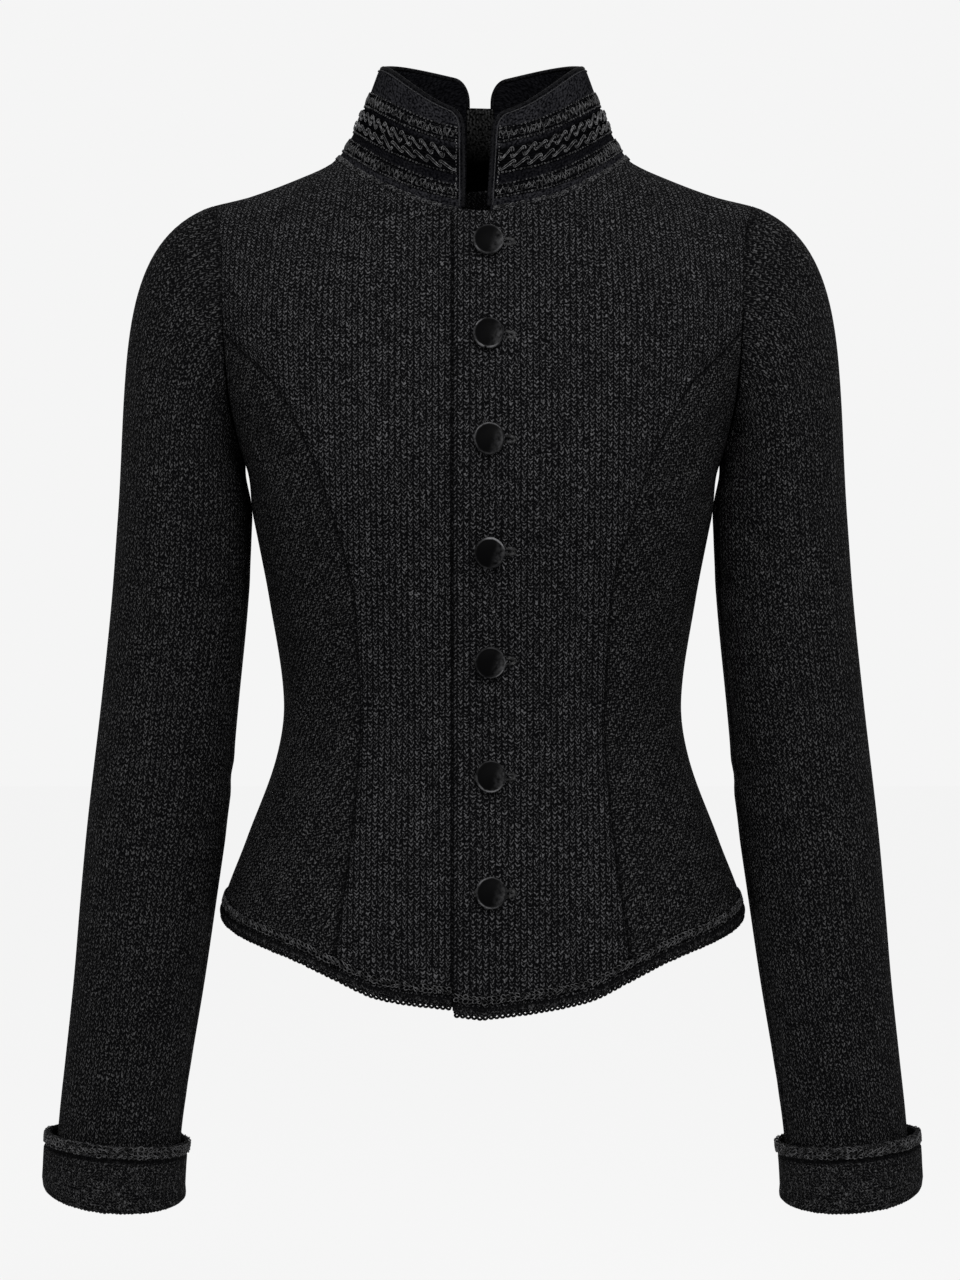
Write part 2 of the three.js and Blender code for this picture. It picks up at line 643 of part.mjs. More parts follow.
// The collar's columns on one half: the angle at the neckline and at the top edge, and how far the
// rounded corners lower the top
function collarColumns(outline, over) {
  const ends = over
    ? { front: collarTopEnds.leftFront, back: collarTopEnds.leftBack }
    : { front: collarTopEnds.rightFront, back: collarTopEnds.rightBack };
  const topAngle = (x, isBack) => {
    const angle = Math.asin(x / collarTop.halfWidth);
    return isBack ? Math.PI - angle : angle;
  };
  const foot = [...outline.neckAngles.front, ...outline.neckAngles.back.slice(1)];
  const shares = [
    ...frontNeckShares.map((share) => mix(topAngle(ends.front, false), quarterTurn, share)),
    ...backNeckShares.slice(1).map((share) => mix(quarterTurn, topAngle(ends.back, true), share)),
  ];
  return foot.map((footAngle, i) => ({ footAngle, topAngle: shares[i] }));
}

function collarTopPoint(angle) {
  const isBack = angle > quarterTurn;
  const facing = Math.abs(Math.cos(angle));
  const rise = isBack
    ? collarTop.backRise * Math.sin(2 * Math.acos(facing)) - collarTop.backDrop * facing ** 2
    : -collarTop.frontDrop * facing ** 2.5;
  const depth = isBack ? collarTop.back : collarTop.front;
  return new THREE.Vector3(collarTop.halfWidth * Math.sin(angle), -depth * Math.cos(angle), collarTop.side + rise);
}

// How far a rounded corner lowers the collar's edge at a distance from its end
const cornerDrop = (radius, away) => radius - Math.sqrt(radius ** 2 - (radius - Math.min(away, radius)) ** 2);

// Outer edge points, inner edge points and outward directions of the collar, column by column
function collarLines(outline, over) {
  const columns = collarColumns(outline, over);
  const footPoint = ({ footAngle }) => {
    const place = necklinePlace(footAngle);
    const point = bodyPoint(place.turn, place.z);
    return point.addScaledVector(bodyNormal(place.turn, place.z), over ? liftAt(point.x) : 0);
  };
  const feet = columns.map(footPoint);
  const tops = columns.map(({ topAngle }) => collarTopPoint(topAngle));
  return columns.map((column, i) => {
    const place = necklinePlace(column.footAngle);
    const before = feet[Math.max(i - 1, 0)];
    const after = feet[Math.min(i + 1, feet.length - 1)];
    const along = after.clone().sub(before).normalize();
    const heading = tops[i].clone().sub(feet[i]).normalize();
    const centre = new THREE.Vector3(0, -5, feet[i].z + 10);
    const edge = sewnEdge(feet[i], bodyNormal(place.turn, place.z), along, centre, heading);
    const topAlong = tops[Math.min(i + 1, tops.length - 1)].clone().sub(tops[Math.max(i - 1, 0)]);
    topAlong.z = 0;
    const out = topAlong.clone().cross(heading).normalize();
    const fromFront = edge.outer.distanceTo(feet[0]);
    const fromBack = edge.outer.distanceTo(feet.at(-1));
    const drop = Math.max(cornerDrop(collarCorner.front, fromFront), cornerDrop(collarCorner.back, fromBack));
    const height = tops[i].distanceTo(edge.outer);
    const { topAngle } = column;
    return { foot: edge.outer, footInner: edge.inner, top: tops[i], out, topAngle, full: 1 - drop / height };
  });
}

// A point of the collar's outer face, which hollows in by a sine of a power of the share of its height
function collarPointAt(line, share) {
  const hollow = collarHollow.depth * Math.sin(Math.PI * Math.max(share, 0) ** collarHollow.power);
  return line.foot.clone().lerp(line.top, share).addScaledVector(line.out, -hollow);
}

function collarWall(lines) {
  const outer = collarRows.map((share) => lines.map((line) => collarPointAt(line, line.full * share)));
  const inner = outer.map((row, j) =>
    row.map((point, i) => {
      if (j === 0) return lines[i].footInner;
      return point.clone().addScaledVector(lines[i].out, -clothThickness);
    }),
  );
  return wall(outer, inner);
}

function collarBraid(lines, { from, to, frontRise, thickness }) {
  const endInset = 1.2;
  const stations = lines.map((line, i) => {
    const neighbour = lines[i === 0 ? 1 : i === lines.length - 1 ? lines.length - 2 : i];
    const rise = frontRise * Math.max(Math.cos(line.topAngle), 0) ** 4;
    const place = (level, out) => {
      const share = level + rise;
      const point = collarPointAt(line, share).addScaledVector(line.out, out);
      const inside = collarPointAt(neighbour, share).sub(collarPointAt(line, share));
      return inside.length() > 0 ? point.addScaledVector(inside.normalize(), endInset) : point;
    };
    const low = trimLift;
    const high = trimLift + thickness;
    return [place(from, low), place(from + 0.02, high), place(to - 0.02, high), place(to, low)];
  });
  return carried(stations, false);
}

// Piping runs up the front end of the collar, along its top and down its back end to the insert.
// Each of its points lies off the edge by the same amount from both stretches that meet there.
function collarPiping(lines) {
  const clear = piping.radius + piping.gap;
  const middle = (line, share) => ({
    point: collarPointAt(line, share).addScaledVector(line.out, -clothThickness / 2),
    side: line.out,
  });
  const front = lines[0];
  const back = lines.at(-1);
  const edge = [
    ...piping.frontShares.map((share) => middle(front, share * front.full)),
    ...lines.slice(1, -1).map((line) => middle(line, line.full)),
    middle(back, back.full),
    middle(back, collarInsert.topShare + piping.aboveInsert),
  ];
  const stretches = edge.slice(1).map(({ point, side }, i) =>
    point.clone().sub(edge[i].point).normalize().cross(side).normalize());
  if (stretches[Math.floor(stretches.length / 2)].z < 0) stretches.forEach((away) => away.negate());
  const path = edge.map(({ point, side }, i) => {
    const before = stretches[Math.max(i - 1, 0)];
    const after = stretches[Math.min(i, stretches.length - 1)];
    const off = before.clone().add(after).multiplyScalar(clear / (1 + before.dot(after)));
    return { point: point.clone().add(off), side, off: off.normalize() };
  });
  const stations = path.map(({ point, side, off }) =>
    series(piping.sides, (k) => {
      const angle = (2 * Math.PI * (k + 0.5)) / piping.sides;
      return point.clone()
        .addScaledVector(side, piping.radius * Math.cos(angle))
        .addScaledVector(off, piping.radius * Math.sin(angle));
    }),
  );
  return carried(stations, false);
}

// The ribbed piece between the two halves of the collar at the centre back
function collarInsertWall(leftLine, rightLine) {
  const inset = seamGap;
  const edgeOf = (line, towards) => (share, into) => {
    const across = towards.foot.clone().sub(line.foot).normalize();
    return collarPointAt(line, share).addScaledVector(line.out, -into).addScaledVector(across, inset);
  };
  const left = edgeOf(leftLine, rightLine);
  const right = edgeOf(rightLine, leftLine);
  const lowest = 0.012;
  const layer = (into) =>
    series(collarInsert.rows + 1, (j) => {
      const share = mix(lowest, collarInsert.topShare, j / collarInsert.rows);
      const a = left(share, into);
      const b = right(share, into);
      return series(3, (i) => a.clone().lerp(b, i / 2));
    });
  return wall(layer(0.3), layer(0.3 + collarInsert.thickness));
}

// A strip laid on the body along the whole hem, from the overlapping front round to the other front
function hemStrip({ from, to, thickness }, leftOutline, rightOutline) {
  const endGap = 0.8;
  const startTurn = turnAt(-overlapReach + endGap, hemSide);
  const frontColumns = leftOutline.frontTop.length - 1;
  const half = (outline, start, over) => [
    ...hemRow({ turn: start, z: 0 }, outline.frontSeamPlaces.at(-1), frontColumns, over),
    ...hemRow(outline.frontSeamPlaces.at(-1), { turn: 1, z: 0 }, frontArmhole.length - 1 - outline.princessRow, over).slice(1),
    ...hemRow({ turn: 1, z: 0 }, outline.backSeamPlaces.at(-1), backArmhole.length - 1 - outline.backSeamRow, false).slice(1),
  ];
  const left = half(leftOutline, startTurn, true);
  const right = half(rightOutline, turnAt(overlapReach + endGap, hemSide), false);
  const backSteps = hemRow(left.at(-1), { turn: 2, z: 0 }, 10, false).slice(1);
  const place = ({ turn, z }, mirror, lifted) => {
    const at = (up, out) => {
      const point = bodyPoint(turn, z + up);
      const lift = lifted ? liftAt(point.x) : 0;
      point.addScaledVector(bodyNormal(turn, z + up), lift + out);
      if (mirror) point.x = -point.x;
      return point;
    };
    const high = trimLift + thickness;
    return [at(from, trimLift), at(from + 0.5, high), at(to - 0.5, high), at(to, trimLift)];
  };
  const stations = [
    ...left.map((p) => place(p, false, p.turn < 1)),
    ...backSteps.map((p) => place(p, false, false)),
    ...backSteps.slice(0, -1).reverse().map((p) => place(p, true, false)),
    ...[...right].reverse().map((p) => place(p, true, false)),
  ];
  return carried(stations, false);
}

function button(name, height) {
  const share = (height - buttonHeights[0]) / (buttonHeights.at(-1) - buttonHeights[0]);
  const x = mix(buttonAcross.top, buttonAcross.bottom, share);
  const turn = turnAt(x, height);
  const normal = bodyNormal(turn, height);
  const place = bodyPoint(turn, height).addScaledVector(normal, overlapLift + buttonLift);
  const profile = buttonProfile.map(({ radius, up }) => new THREE.Vector2(radius, up));
  const geometry = new THREE.LatheGeometry(profile, buttonSegments);
  const mesh = new THREE.Mesh(geometry, colours.button.clone());
  mesh.name = name;
  mesh.position.copy(place);
  mesh.quaternion.setFromUnitVectors(new THREE.Vector3(0, 1, 0), normal);
  return mesh;
}

function pieceMesh(name, geometry, material, mirror = false) {
  if (mirror) {
    geometry.scale(-1, 1, 1);
    const index = geometry.getIndex().array;
    for (let i = 0; i < index.length; i += 3) [index[i], index[i + 1]] = [index[i + 1], index[i]];
  }
  const mesh = new THREE.Mesh(geometry, material.clone());
  mesh.name = name;
  return mesh;
}

const body = new THREE.Group();
const sleeves = new THREE.Group();
const collar = new THREE.Group();
const trims = new THREE.Group();
const buttons = new THREE.Group();

const outlines = { left: halfOutline(true), right: halfOutline(false) };
const collars = { left: collarLines(outlines.left, true), right: collarLines(outlines.right, false) };
const sleeve = sleeveGrids();

// Each half is worked out on the left and mirrored for the right
for (const side of ["left", "right"]) {
  const over = side === "left";
  const outline = outlines[side];
  const lines = collars[side];
  const piece = (name, geometry, material) => pieceMesh(`${name}_${side}`, geometry, material, !over);
  body.add(
    piece("front", frontPanel(outline, over), colours.knit),
    piece("side_front", sidePanel(outline, over, false), colours.knit),
    piece("side_back", sidePanel(outline, over, true), colours.knit),
  );
  sleeves.add(
    piece("top_sleeve", sleevePiece(sleeve, sleeveSeams.back, sleeve.count + sleeveSeams.front), colours.knit),
    piece("under_sleeve", sleevePiece(sleeve, sleeveSeams.front, sleeveSeams.back), colours.knit),
    piece("cuff", cuffRing(cuffProfile), colours.knit),
    piece("cuff_braid", cuffRing(cuffBraidProfile), colours.braid),
  );
  collar.add(
    piece("collar", collarWall(lines), colours.collar),
    piece("collar_piping", collarPiping(lines), colours.piping),
    ...collarBraids.map((braid) => piece(`collar_braid_${braid.name}`, collarBraid(lines, braid), colours.braid)),
  );
}

body.add(pieceMesh("back", backPanel(outlines.left, outlines.right), colours.knit));

const acrossMiddle = new THREE.Vector3(-1, 1, 1);
const rightBackLine = collars.right.at(-1);
const insertEdges = {
  left: collars.left.at(-1),
  right: {
    foot: rightBackLine.foot.clone().multiply(acrossMiddle),
    top: rightBackLine.top.clone().multiply(acrossMiddle),
    out: rightBackLine.out.clone().multiply(acrossMiddle),
  },
};
collar.add(pieceMesh("collar_back_insert", collarInsertWall(insertEdges.left, insertEdges.right), colours.rib));

trims.add(...hemTrims.map((trim) => pieceMesh(trim.name, hemStrip(trim, outlines.left, outlines.right), colours.braid)));
buttons.add(...buttonHeights.map((height, i) => button(`button_${i + 1}`, height)));

const jacket = new THREE.Group();
jacket.add(body, sleeves, collar, trims, buttons);

export default jacket;
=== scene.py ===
import math

import bpy
import numpy as np
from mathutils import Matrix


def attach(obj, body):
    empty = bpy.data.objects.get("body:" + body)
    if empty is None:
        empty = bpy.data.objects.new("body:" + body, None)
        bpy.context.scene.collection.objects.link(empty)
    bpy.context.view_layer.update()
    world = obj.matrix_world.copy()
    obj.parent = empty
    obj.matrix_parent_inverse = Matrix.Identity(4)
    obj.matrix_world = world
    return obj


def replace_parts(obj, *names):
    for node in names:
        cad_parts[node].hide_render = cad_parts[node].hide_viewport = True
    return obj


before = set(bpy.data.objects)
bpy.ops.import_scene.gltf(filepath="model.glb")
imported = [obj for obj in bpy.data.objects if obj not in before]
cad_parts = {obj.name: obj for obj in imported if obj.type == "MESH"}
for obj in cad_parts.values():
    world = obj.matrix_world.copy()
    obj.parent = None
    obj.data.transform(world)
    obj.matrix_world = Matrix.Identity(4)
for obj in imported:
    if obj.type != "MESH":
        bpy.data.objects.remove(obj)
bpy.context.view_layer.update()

# A fitted trachten jacket in black knitted wool. Sizes are in millimetres until a mesh is made.
# The front faces -Y and the wearer's left is +X.

mm = 0.001
quarterTurn = math.pi / 2
rng = np.random.default_rng(7)

# The cut of the body, the same as that of the solids
bodyCut = {
    "z": [-550, -484, -438, -387, -349, -285, -234, -200, -156, -105, -60, -20, 40],
    "halfWidth": [171, 167, 151, 132.2, 127, 136, 145.6, 151, 165, 181, 186, 188, 190],
    "front": [117, 111.5, 105, 97, 96, 108.5, 122, 124, 118, 105, 92, 86, 84],
    "back": [121, 117, 108, 93, 86, 90, 97, 102, 105, 103, 96, 90, 88],
    "square": [2.15, 2.15, 2.15, 2.15, 2.15, 2.3, 2.45, 2.5, 2.5, 2.45, 2.35, 2.3, 2.3],
}
shoulderRidge = {
    "x": [0, 55, 88, 100, 113, 140, 172, 200],
    "z": [34, 20, 0.5, -7.5, -13.4, -23.7, -32.5, -40],
}
hemLine = {
    "turn": [0, 0.244, 0.362, 0.487, 0.682, 1, 1.3, 1.6, 2],
    "z": [-535.6, -527.8, -516.6, -505.6, -495, -482.1, -477.6, -485, -500],
}
frontArmhole = {
    "row": [0, 1, 2, 3, 4, 5, 6, 7, 8, 9],
    "z": [-32.5, -55, -80, -100, -118, -140, -160, -178, -193, -200],
    "turn": [0.741, 0.7, 0.697, 0.7085, 0.7353, 0.79, 0.8555, 0.918, 0.962, 1],
}
backArmhole = {
    "row": [0, 1, 2, 3, 4, 5, 6, 7, 8, 9],
    "z": [-32.5, -57, -84, -112, -136, -157, -175, -188, -197, -200],
    "turn": [0.741, 0.715, 0.72, 0.745, 0.785, 0.84, 0.9, 0.945, 0.977, 1],
}
frontSeam = {
    "z": [-139, -154, -178, -205, -236, -283, -330, -377, -430, -473, -530],
    "x": [143, 128, 114.6, 102.5, 92, 79.5, 76.8, 76.5, 81, 86.5, 93],
}
backSeam = {
    "z": [-132, -152, -180, -215, -260, -310, -349, -400, -450, -510],
    "x": [146, 128, 112, 97, 82, 72, 68, 70, 76, 83],
}
cloth = {
    "thickness": 3, "seamGap": 0.3, "shoulderRoll": 110, "armholeCentre": (168, 0, -118),
    "overReach": 18.8, "overLift": 4.2, "overFade": (22, 52), "overDrop": 3.9, "overDropReach": 130,
    "hemSide": -482.1, "princessRow": 4, "backSeamRow": 3, "shoulderTip": 172,
}
neck = {
    "halfWidth": 93.3, "front": -47.3, "back": -14, "frontPower": 1.7, "frontFullness": 0.8, "backPower": 2,
}


def smoothStep(low, high, value):
    t = np.clip((value - low) / (high - low), 0, 1)
    return t * t * (3 - 2 * t)


def readTable(table, key, column, at):
    # cubic through a column's values, with each row's slope taken between its neighbours
    keys = np.array(table[key], float)
    values = np.array(table[column], float)
    if keys[0] > keys[-1]:
        keys, values = keys[::-1], values[::-1]
    slopes = np.empty_like(values)
    slopes[1:-1] = (values[2:] - values[:-2]) / (keys[2:] - keys[:-2])
    slopes[0] = (values[1] - values[0]) / (keys[1] - keys[0])
    slopes[-1] = (values[-1] - values[-2]) / (keys[-1] - keys[-2])
    at = np.clip(np.asarray(at, float), keys[0], keys[-1])
    i = np.clip(np.searchsorted(keys, at) - 1, 0, len(keys) - 2)
    step = keys[i + 1] - keys[i]
    t = (at - keys[i]) / step
    return ((2 * t**3 - 3 * t**2 + 1) * values[i] + (3 * t**2 - 2 * t**3) * values[i + 1]
            + (t**3 - 2 * t**2 + t) * step * slopes[i] + (t**3 - t**2) * step * slopes[i + 1])


def unit(vectors):
    return vectors / np.maximum(np.linalg.norm(vectors, axis=-1, keepdims=True), 1e-9)


def bodyPoint(turn, z):
    # x = half width times sin(turn quarter), y = depth of a squared ellipse at x, rolled off at the shoulders
    turn, z = np.broadcast_arrays(np.asarray(turn, float), np.asarray(z, float))
    wrapped = np.where(turn > 2, turn - 4, np.where(turn < -2, turn + 4, turn))
    isBack = np.abs(wrapped) > 1
    quarter = np.where(isBack, 2 - np.abs(wrapped), np.abs(wrapped))
    across = np.clip(np.sin(quarter * quarterTurn), 0, 1)
    x = readTable(bodyCut, "z", "halfWidth", z) * across
    square = readTable(bodyCut, "z", "square", z)
    below = np.clip((readTable(shoulderRidge, "x", "z", x) - z) / cloth["shoulderRoll"], 0, 1)
    roll = np.sqrt(1 - (1 - below)**2)
    depth = np.where(isBack, readTable(bodyCut, "z", "back", z), -readTable(bodyCut, "z", "front", z))
    y = depth * (1 - across**square)**(1 / square) * roll
    return np.stack([np.sign(wrapped) * x, y, z], -1)


def bodyNormal(turn, z):
    # cross product of small steps round the body and up it
    turn, z = np.broadcast_arrays(np.asarray(turn, float), np.asarray(z, float))
    around = bodyPoint(turn + 0.002, z) - bodyPoint(turn - 0.002, z)
    up = bodyPoint(turn, z + 0.4) - bodyPoint(turn, z - 0.4)
    normal = np.cross(around, up)
    x = np.abs(bodyPoint(turn, z)[..., 0])
    normal[..., 1] = np.where(z > readTable(shoulderRidge, "x", "z", x) - 0.8, 0, normal[..., 1])
    return unit(normal)


def pathLengths(path):
    # distance along a path from its start to each of its points
    return np.concatenate([[0], np.cumsum(np.linalg.norm(np.diff(path, axis=0), axis=1))])


def arcFrom(points, axis):
    # distances along an axis of a grid of points
    steps = np.linalg.norm(np.diff(points, axis=axis), axis=-1)
    total = np.cumsum(steps, axis=axis)
    return np.concatenate([np.zeros_like(np.take(total, [0], axis)), total], axis=axis)


# A map of the body's cloth: distance round it from the centre front and distance up it
flatMap = {"turn": np.linspace(0, 2, 401), "z": np.linspace(-570, 40, 306)}
flatMap["points"] = bodyPoint(flatMap["turn"][None], flatMap["z"][:, None])
flatMap["last"] = (len(flatMap["z"]) - 1, len(flatMap["turn"]) - 1)
flatMap["round"] = arcFrom(flatMap["points"], 1)
flatMap["up"] = arcFrom(flatMap["points"], 0)


def flatPlace(turn, z):
    # both distances read between the four nearest places of the map
    lastUp, lastRound = flatMap["last"]
    lowest, highest = flatMap["z"][[0, -1]]
    folded = np.where(turn > 2, 4 - turn, np.abs(turn))
    f = np.clip(folded / 2 * lastRound, 0, lastRound - 0.001)
    g = np.clip((z - lowest) / (highest - lowest) * lastUp, 0, lastUp - 0.001)
    i, j = f.astype(int), g.astype(int)
    a, b = f - i, g - j

    def read(grid):
        low = grid[j, i] * (1 - a) + grid[j, i + 1] * a
        return low * (1 - b) + (grid[j + 1, i] * (1 - a) + grid[j + 1, i + 1] * a) * b
    around = read(flatMap["round"])
    half = flatMap["round"][j, lastRound] * (1 - b) + flatMap["round"][j + 1, lastRound] * b
    around = np.where(turn > 2, 2 * half - around, np.where(turn < 0, -around, around))
    fromMiddle = np.where(turn > 1, around - half, around)
    return np.stack([fromMiddle, read(flatMap["up"])], -1)


def turnAt(x, z):
    return np.arcsin(np.clip(np.asarray(x) / readTable(bodyCut, "z", "halfWidth", z), -1, 1)) / quarterTurn


def overLiftAt(x):
    return cloth["overLift"] * (1 - smoothStep(*cloth["overFade"], x))


def hemHeight(turn, over):
    turn = np.asarray(turn, float)
    height = readTable(hemLine, "turn", "z", np.abs(turn))
    if not over:
        return height
    x = bodyPoint(turn, height)[..., 0]
    extra = cloth["overDrop"] * (1 - smoothStep(0, cloth["overDropReach"], x))
    return height - np.where(np.abs(turn) > 1, 0, extra)


def placeOf(turn, z, isBack):
    # turns run from 0 at the centre front to 1 at the side and 2 at the centre back
    return np.stack([2 - turn if isBack else turn, z], -1)


def necklinePlace(angle, isBack):
    # height by a power of the distance from the centre line, at the front a full curve that is steepest
    # at the shoulder
    x = neck["halfWidth"] * np.sin(angle)
    share = np.clip(np.abs(x) / neck["halfWidth"], 0, 1)
    top = readTable(shoulderRidge, "x", "z", neck["halfWidth"])
    if isBack:
        z = neck["back"] + (top - neck["back"]) * share**neck["backPower"]
    else:
        full = 1 - (1 - share**neck["frontPower"])**neck["frontFullness"]
        z = neck["front"] + (top - neck["front"]) * full
    return placeOf(turnAt(x, z), z, isBack)


def shoulderPlace(share, isBack):
    x = neck["halfWidth"] + (cloth["shoulderTip"] - neck["halfWidth"]) * share
    z = readTable(shoulderRidge, "x", "z", x)
    return placeOf(turnAt(x, z), z, isBack)


def armholePlace(row, isBack):
    table = backArmhole if isBack else frontArmhole
    return placeOf(readTable(table, "row", "turn", row), readTable(table, "row", "z", row), isBack)


def seamPlaces(seam, start, isBack, over, along):
    # the seam's table from its armhole point to the hem, read at shares of its length
    def placeAt(z):
        return placeOf(turnAt(readTable(seam, "z", "x", z), z), z, isBack)
    foot = placeAt(cloth["hemSide"] - 30)
    for _ in range(6):
        foot = placeAt(float(hemHeight(foot[0], over)))
    rows = np.array([start] + [placeAt(z) for z in seam["z"] if z > foot[1] + 8] + [foot])
    lengths = pathLengths(bodyPoint(rows[:, 0], rows[:, 1]))
    keyed = {"along": lengths / lengths[-1], "turn": rows[:, 0], "z": rows[:, 1]}
    return np.stack([readTable(keyed, "along", "turn", along), readTable(keyed, "along", "z", along)], -1)


def patch(top, bottom, left, right, u):
    # Coons patch between four rows of places, where v follows the left edge's height
    u = u[None, :, None]
    v = ((left[:, 1] - left[0, 1]) / (left[-1, 1] - left[0, 1]))[:, None, None]
    return ((1 - v) * top[None] + v * bottom[None] + (1 - u) * left[:, None] + u * right[:, None]
            - (1 - u) * (1 - v) * top[0] - u * (1 - v) * top[-1]
            - (1 - u) * v * bottom[0] - u * v * bottom[-1])


def relaxed(places, times=40):
    # each inner place goes to the mean of its four neighbours, which opens the folds near sharp corners
    places = places.copy()
    for _ in range(times):
        places[1:-1, 1:-1] = (places[2:, 1:-1] + places[:-2, 1:-1] + places[1:-1, 2:] + places[1:-1, :-2]) / 4
    return places


def stepsWithin(counts):
    # positions along a row of intervals, each cut into its own number of steps
    parts = [i + np.arange(n) / n for i, n in enumerate(counts)]
    return np.concatenate(parts + [[len(counts)]])


# Mesh making

def gridFaces(rows, columns, start=0, closed=False):
    i = np.arange(columns if closed else columns - 1)
    j = np.arange(rows - 1)[:, None]
    right = (i + 1) % columns
    a = start + j * columns + i
    b = start + j * columns + right
    return np.stack([a, b, b + columns, a + columns], -1).reshape(-1, 4)


def faceOut(points, faces):
    # turns all faces round if the volume they enclose is negative
    a, b, c, d = (points[faces[:, k]] for k in range(4))
    volume = np.einsum("ij,ij->i", a, np.cross(b, c)).sum() + np.einsum("ij,ij->i", a, np.cross(c, d)).sum()
    return faces[:, ::-1] if volume < 0 else faces


def addMesh(name, points, faces, uv, material, nodes=(), shade=None):
    mesh = bpy.data.meshes.new(name)
    faceList = faces.tolist() if isinstance(faces, np.ndarray) else faces
    mesh.from_pydata((points * mm).tolist(), [], faceList)
    layer = mesh.uv_layers.new(name="UVMap")
    corners = np.empty(len(mesh.loops), np.int32)
    mesh.loops.foreach_get("vertex_index", corners)
    layer.data.foreach_set("uv", (uv[corners] * mm).ravel())
    mesh.polygons.foreach_set("use_smooth", np.ones(len(mesh.polygons), bool))
    shadeLayer = mesh.attributes.new("shade", "FLOAT", "POINT")
    shadeLayer.data.foreach_set("value", np.zeros(len(points)) if shade is None else shade)
    mesh.update()
    mesh.materials.append(material)
    piece = bpy.data.objects.new(name, mesh)
    bpy.context.collection.objects.link(piece)
    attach(piece, "root")
    if nodes:
        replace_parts(piece, *nodes)
    return piece


def mirrored(points):
    return points * np.array([-1, 1, 1])


def worn(points, side):
    # shapes are worked out on the wearer's left and mirrored for the right
    return mirrored(points) if side == "right" else points


def shellMesh(name, outer, inner, uv, material, nodes, bulge=0.5, shade=None, inside=0.8):
    # an outer and an inner grid joined by a rim, whose middle line stands out by the bulge; the inside gets
    # an even painted shade, the rim a lighter even one, and the outside its own grid of painted shade
    rows, columns = outer.shape[:2]
    ring = np.concatenate([
        np.stack([np.zeros(columns - 1, int), np.arange(columns - 1)], -1),
        np.stack([np.arange(rows - 1), np.full(rows - 1, columns - 1)], -1),
        np.stack([np.full(columns - 1, rows - 1), np.arange(columns - 1, 0, -1)], -1),
        np.stack([np.arange(rows - 1, 0, -1), np.zeros(rows - 1, int)], -1),
    ])
    j, i = ring.T
    inJ = np.clip(j, 1, rows - 2)
    inI = np.clip(i, 1, columns - 2)
    edge = (outer[j, i] + inner[j, i]) / 2
    within = (outer[inJ, inI] + inner[inJ, inI]) / 2
    rim = edge + unit(edge - within) * bulge
    points = np.concatenate([outer.reshape(-1, 3), inner.reshape(-1, 3), rim])
    size = rows * columns
    at = j * columns + i
    nextAt = np.roll(at, -1)
    mid = 2 * size + np.arange(len(ring))
    nextMid = np.roll(mid, -1)
    faces = np.concatenate([
        gridFaces(rows, columns),
        gridFaces(rows, columns, size)[:, ::-1],
        np.stack([nextAt, at, mid, nextMid], -1),
        np.stack([nextMid, mid, at + size, nextAt + size], -1),
    ])
    flat = uv.reshape(-1, 2)
    allUv = np.concatenate([flat, flat, flat[at]])
    outside = np.zeros(size) if shade is None else shade.ravel()
    within = np.broadcast_to(inside, (rows, columns)).ravel()
    allShade = np.concatenate([outside, within, np.full(len(ring), 0.4)])
    return addMesh(name, points, faceOut(points, faces), allUv, material, nodes, allShade)


def tubes(name, paths, normals, radius, material, sides=4, closed=False):
    # circles carried along each path of an array of paths, in the plane of its normal and its side
    count, steps = paths.shape[:2]
    ahead = unit(np.roll(paths, -1, 1) - np.roll(paths, 1, 1) if closed else np.gradient(paths, axis=1))
    side = unit(np.cross(ahead, normals))
    up = np.cross(side, ahead)
    angle = 2 * np.pi * (np.arange(sides) + 0.5) / sides
    ring = np.cos(angle)[:, None] * up[:, :, None] + np.sin(angle)[:, None] * side[:, :, None]
    points = (paths[:, :, None] + radius * ring).reshape(-1, 3)
    s = np.arange(steps if closed else steps - 1)[:, None]
    k = np.arange(sides)
    one = np.stack([s * sides + k, s * sides + (k + 1) % sides,
                    (s + 1) % steps * sides + (k + 1) % sides, (s + 1) % steps * sides + k],
                    -1).reshape(-1, 4)
    faces = (one[None] + (np.arange(count) * steps * sides)[:, None, None]).reshape(-1, 4)
    faceList = faces.tolist()
    if not closed:
        starts = np.arange(count)[:, None] * steps * sides
        faceList += (starts + np.arange(sides)[::-1]).tolist()
        faceList += (starts + (steps - 1) * sides + np.arange(sides)).tolist()
    around = np.broadcast_to(angle / (2 * np.pi), (count, steps, sides))
    along = np.broadcast_to(arcFrom(paths, 1)[..., None], (count, steps, sides))
    uv = np.stack([around * 10, along], -1).reshape(-1, 2)
    return addMesh(name, points, faceList, uv, material)


def join(pieces, name):
    # several meshes made one object
    with bpy.context.temp_override(active_object=pieces[0], selected_editable_objects=pieces):
        bpy.ops.object.join()
    pieces[0].name = name
    return pieces[0]


# Materials

def calc(tree, operation, *inputs):
    node = tree.nodes.new("ShaderNodeMath")
    node.operation = operation
    for socket, value in zip(node.inputs, inputs):
        if isinstance(value, (int, float)):
            socket.default_value = value
        else:
            tree.links.new(value, socket)
    return node.outputs[0]


def newGroup(name, inputs, outputs):
    group = bpy.data.node_groups.new(name, "ShaderNodeTree")
    for label, kind, value in inputs:
        socket = group.interface.new_socket(label, in_out="INPUT", socket_type=kind)
        if value is not None:
            socket.default_value = value
    for label, kind in outputs:
        group.interface.new_socket(label, in_out="OUTPUT", socket_type=kind)
    return group, group.nodes.new("NodeGroupInput"), group.nodes.new("NodeGroupOutput")


def noise(tree, vector, scale, detail=2.0, colour=False):
    node = tree.nodes.new("ShaderNodeTexNoise")
    node.inputs["Scale"].default_value = scale
    node.inputs["Detail"].default_value = detail
    tree.links.new(vector, node.inputs["Vector"])
    return node.outputs["Color" if colour else "Fac"]


def parts(tree, kind, value):
    # the three parts of a colour or of a vector
    node = tree.nodes.new("ShaderNodeSeparate" + kind)
    tree.links.new(value, node.inputs[0])
    return node.outputs


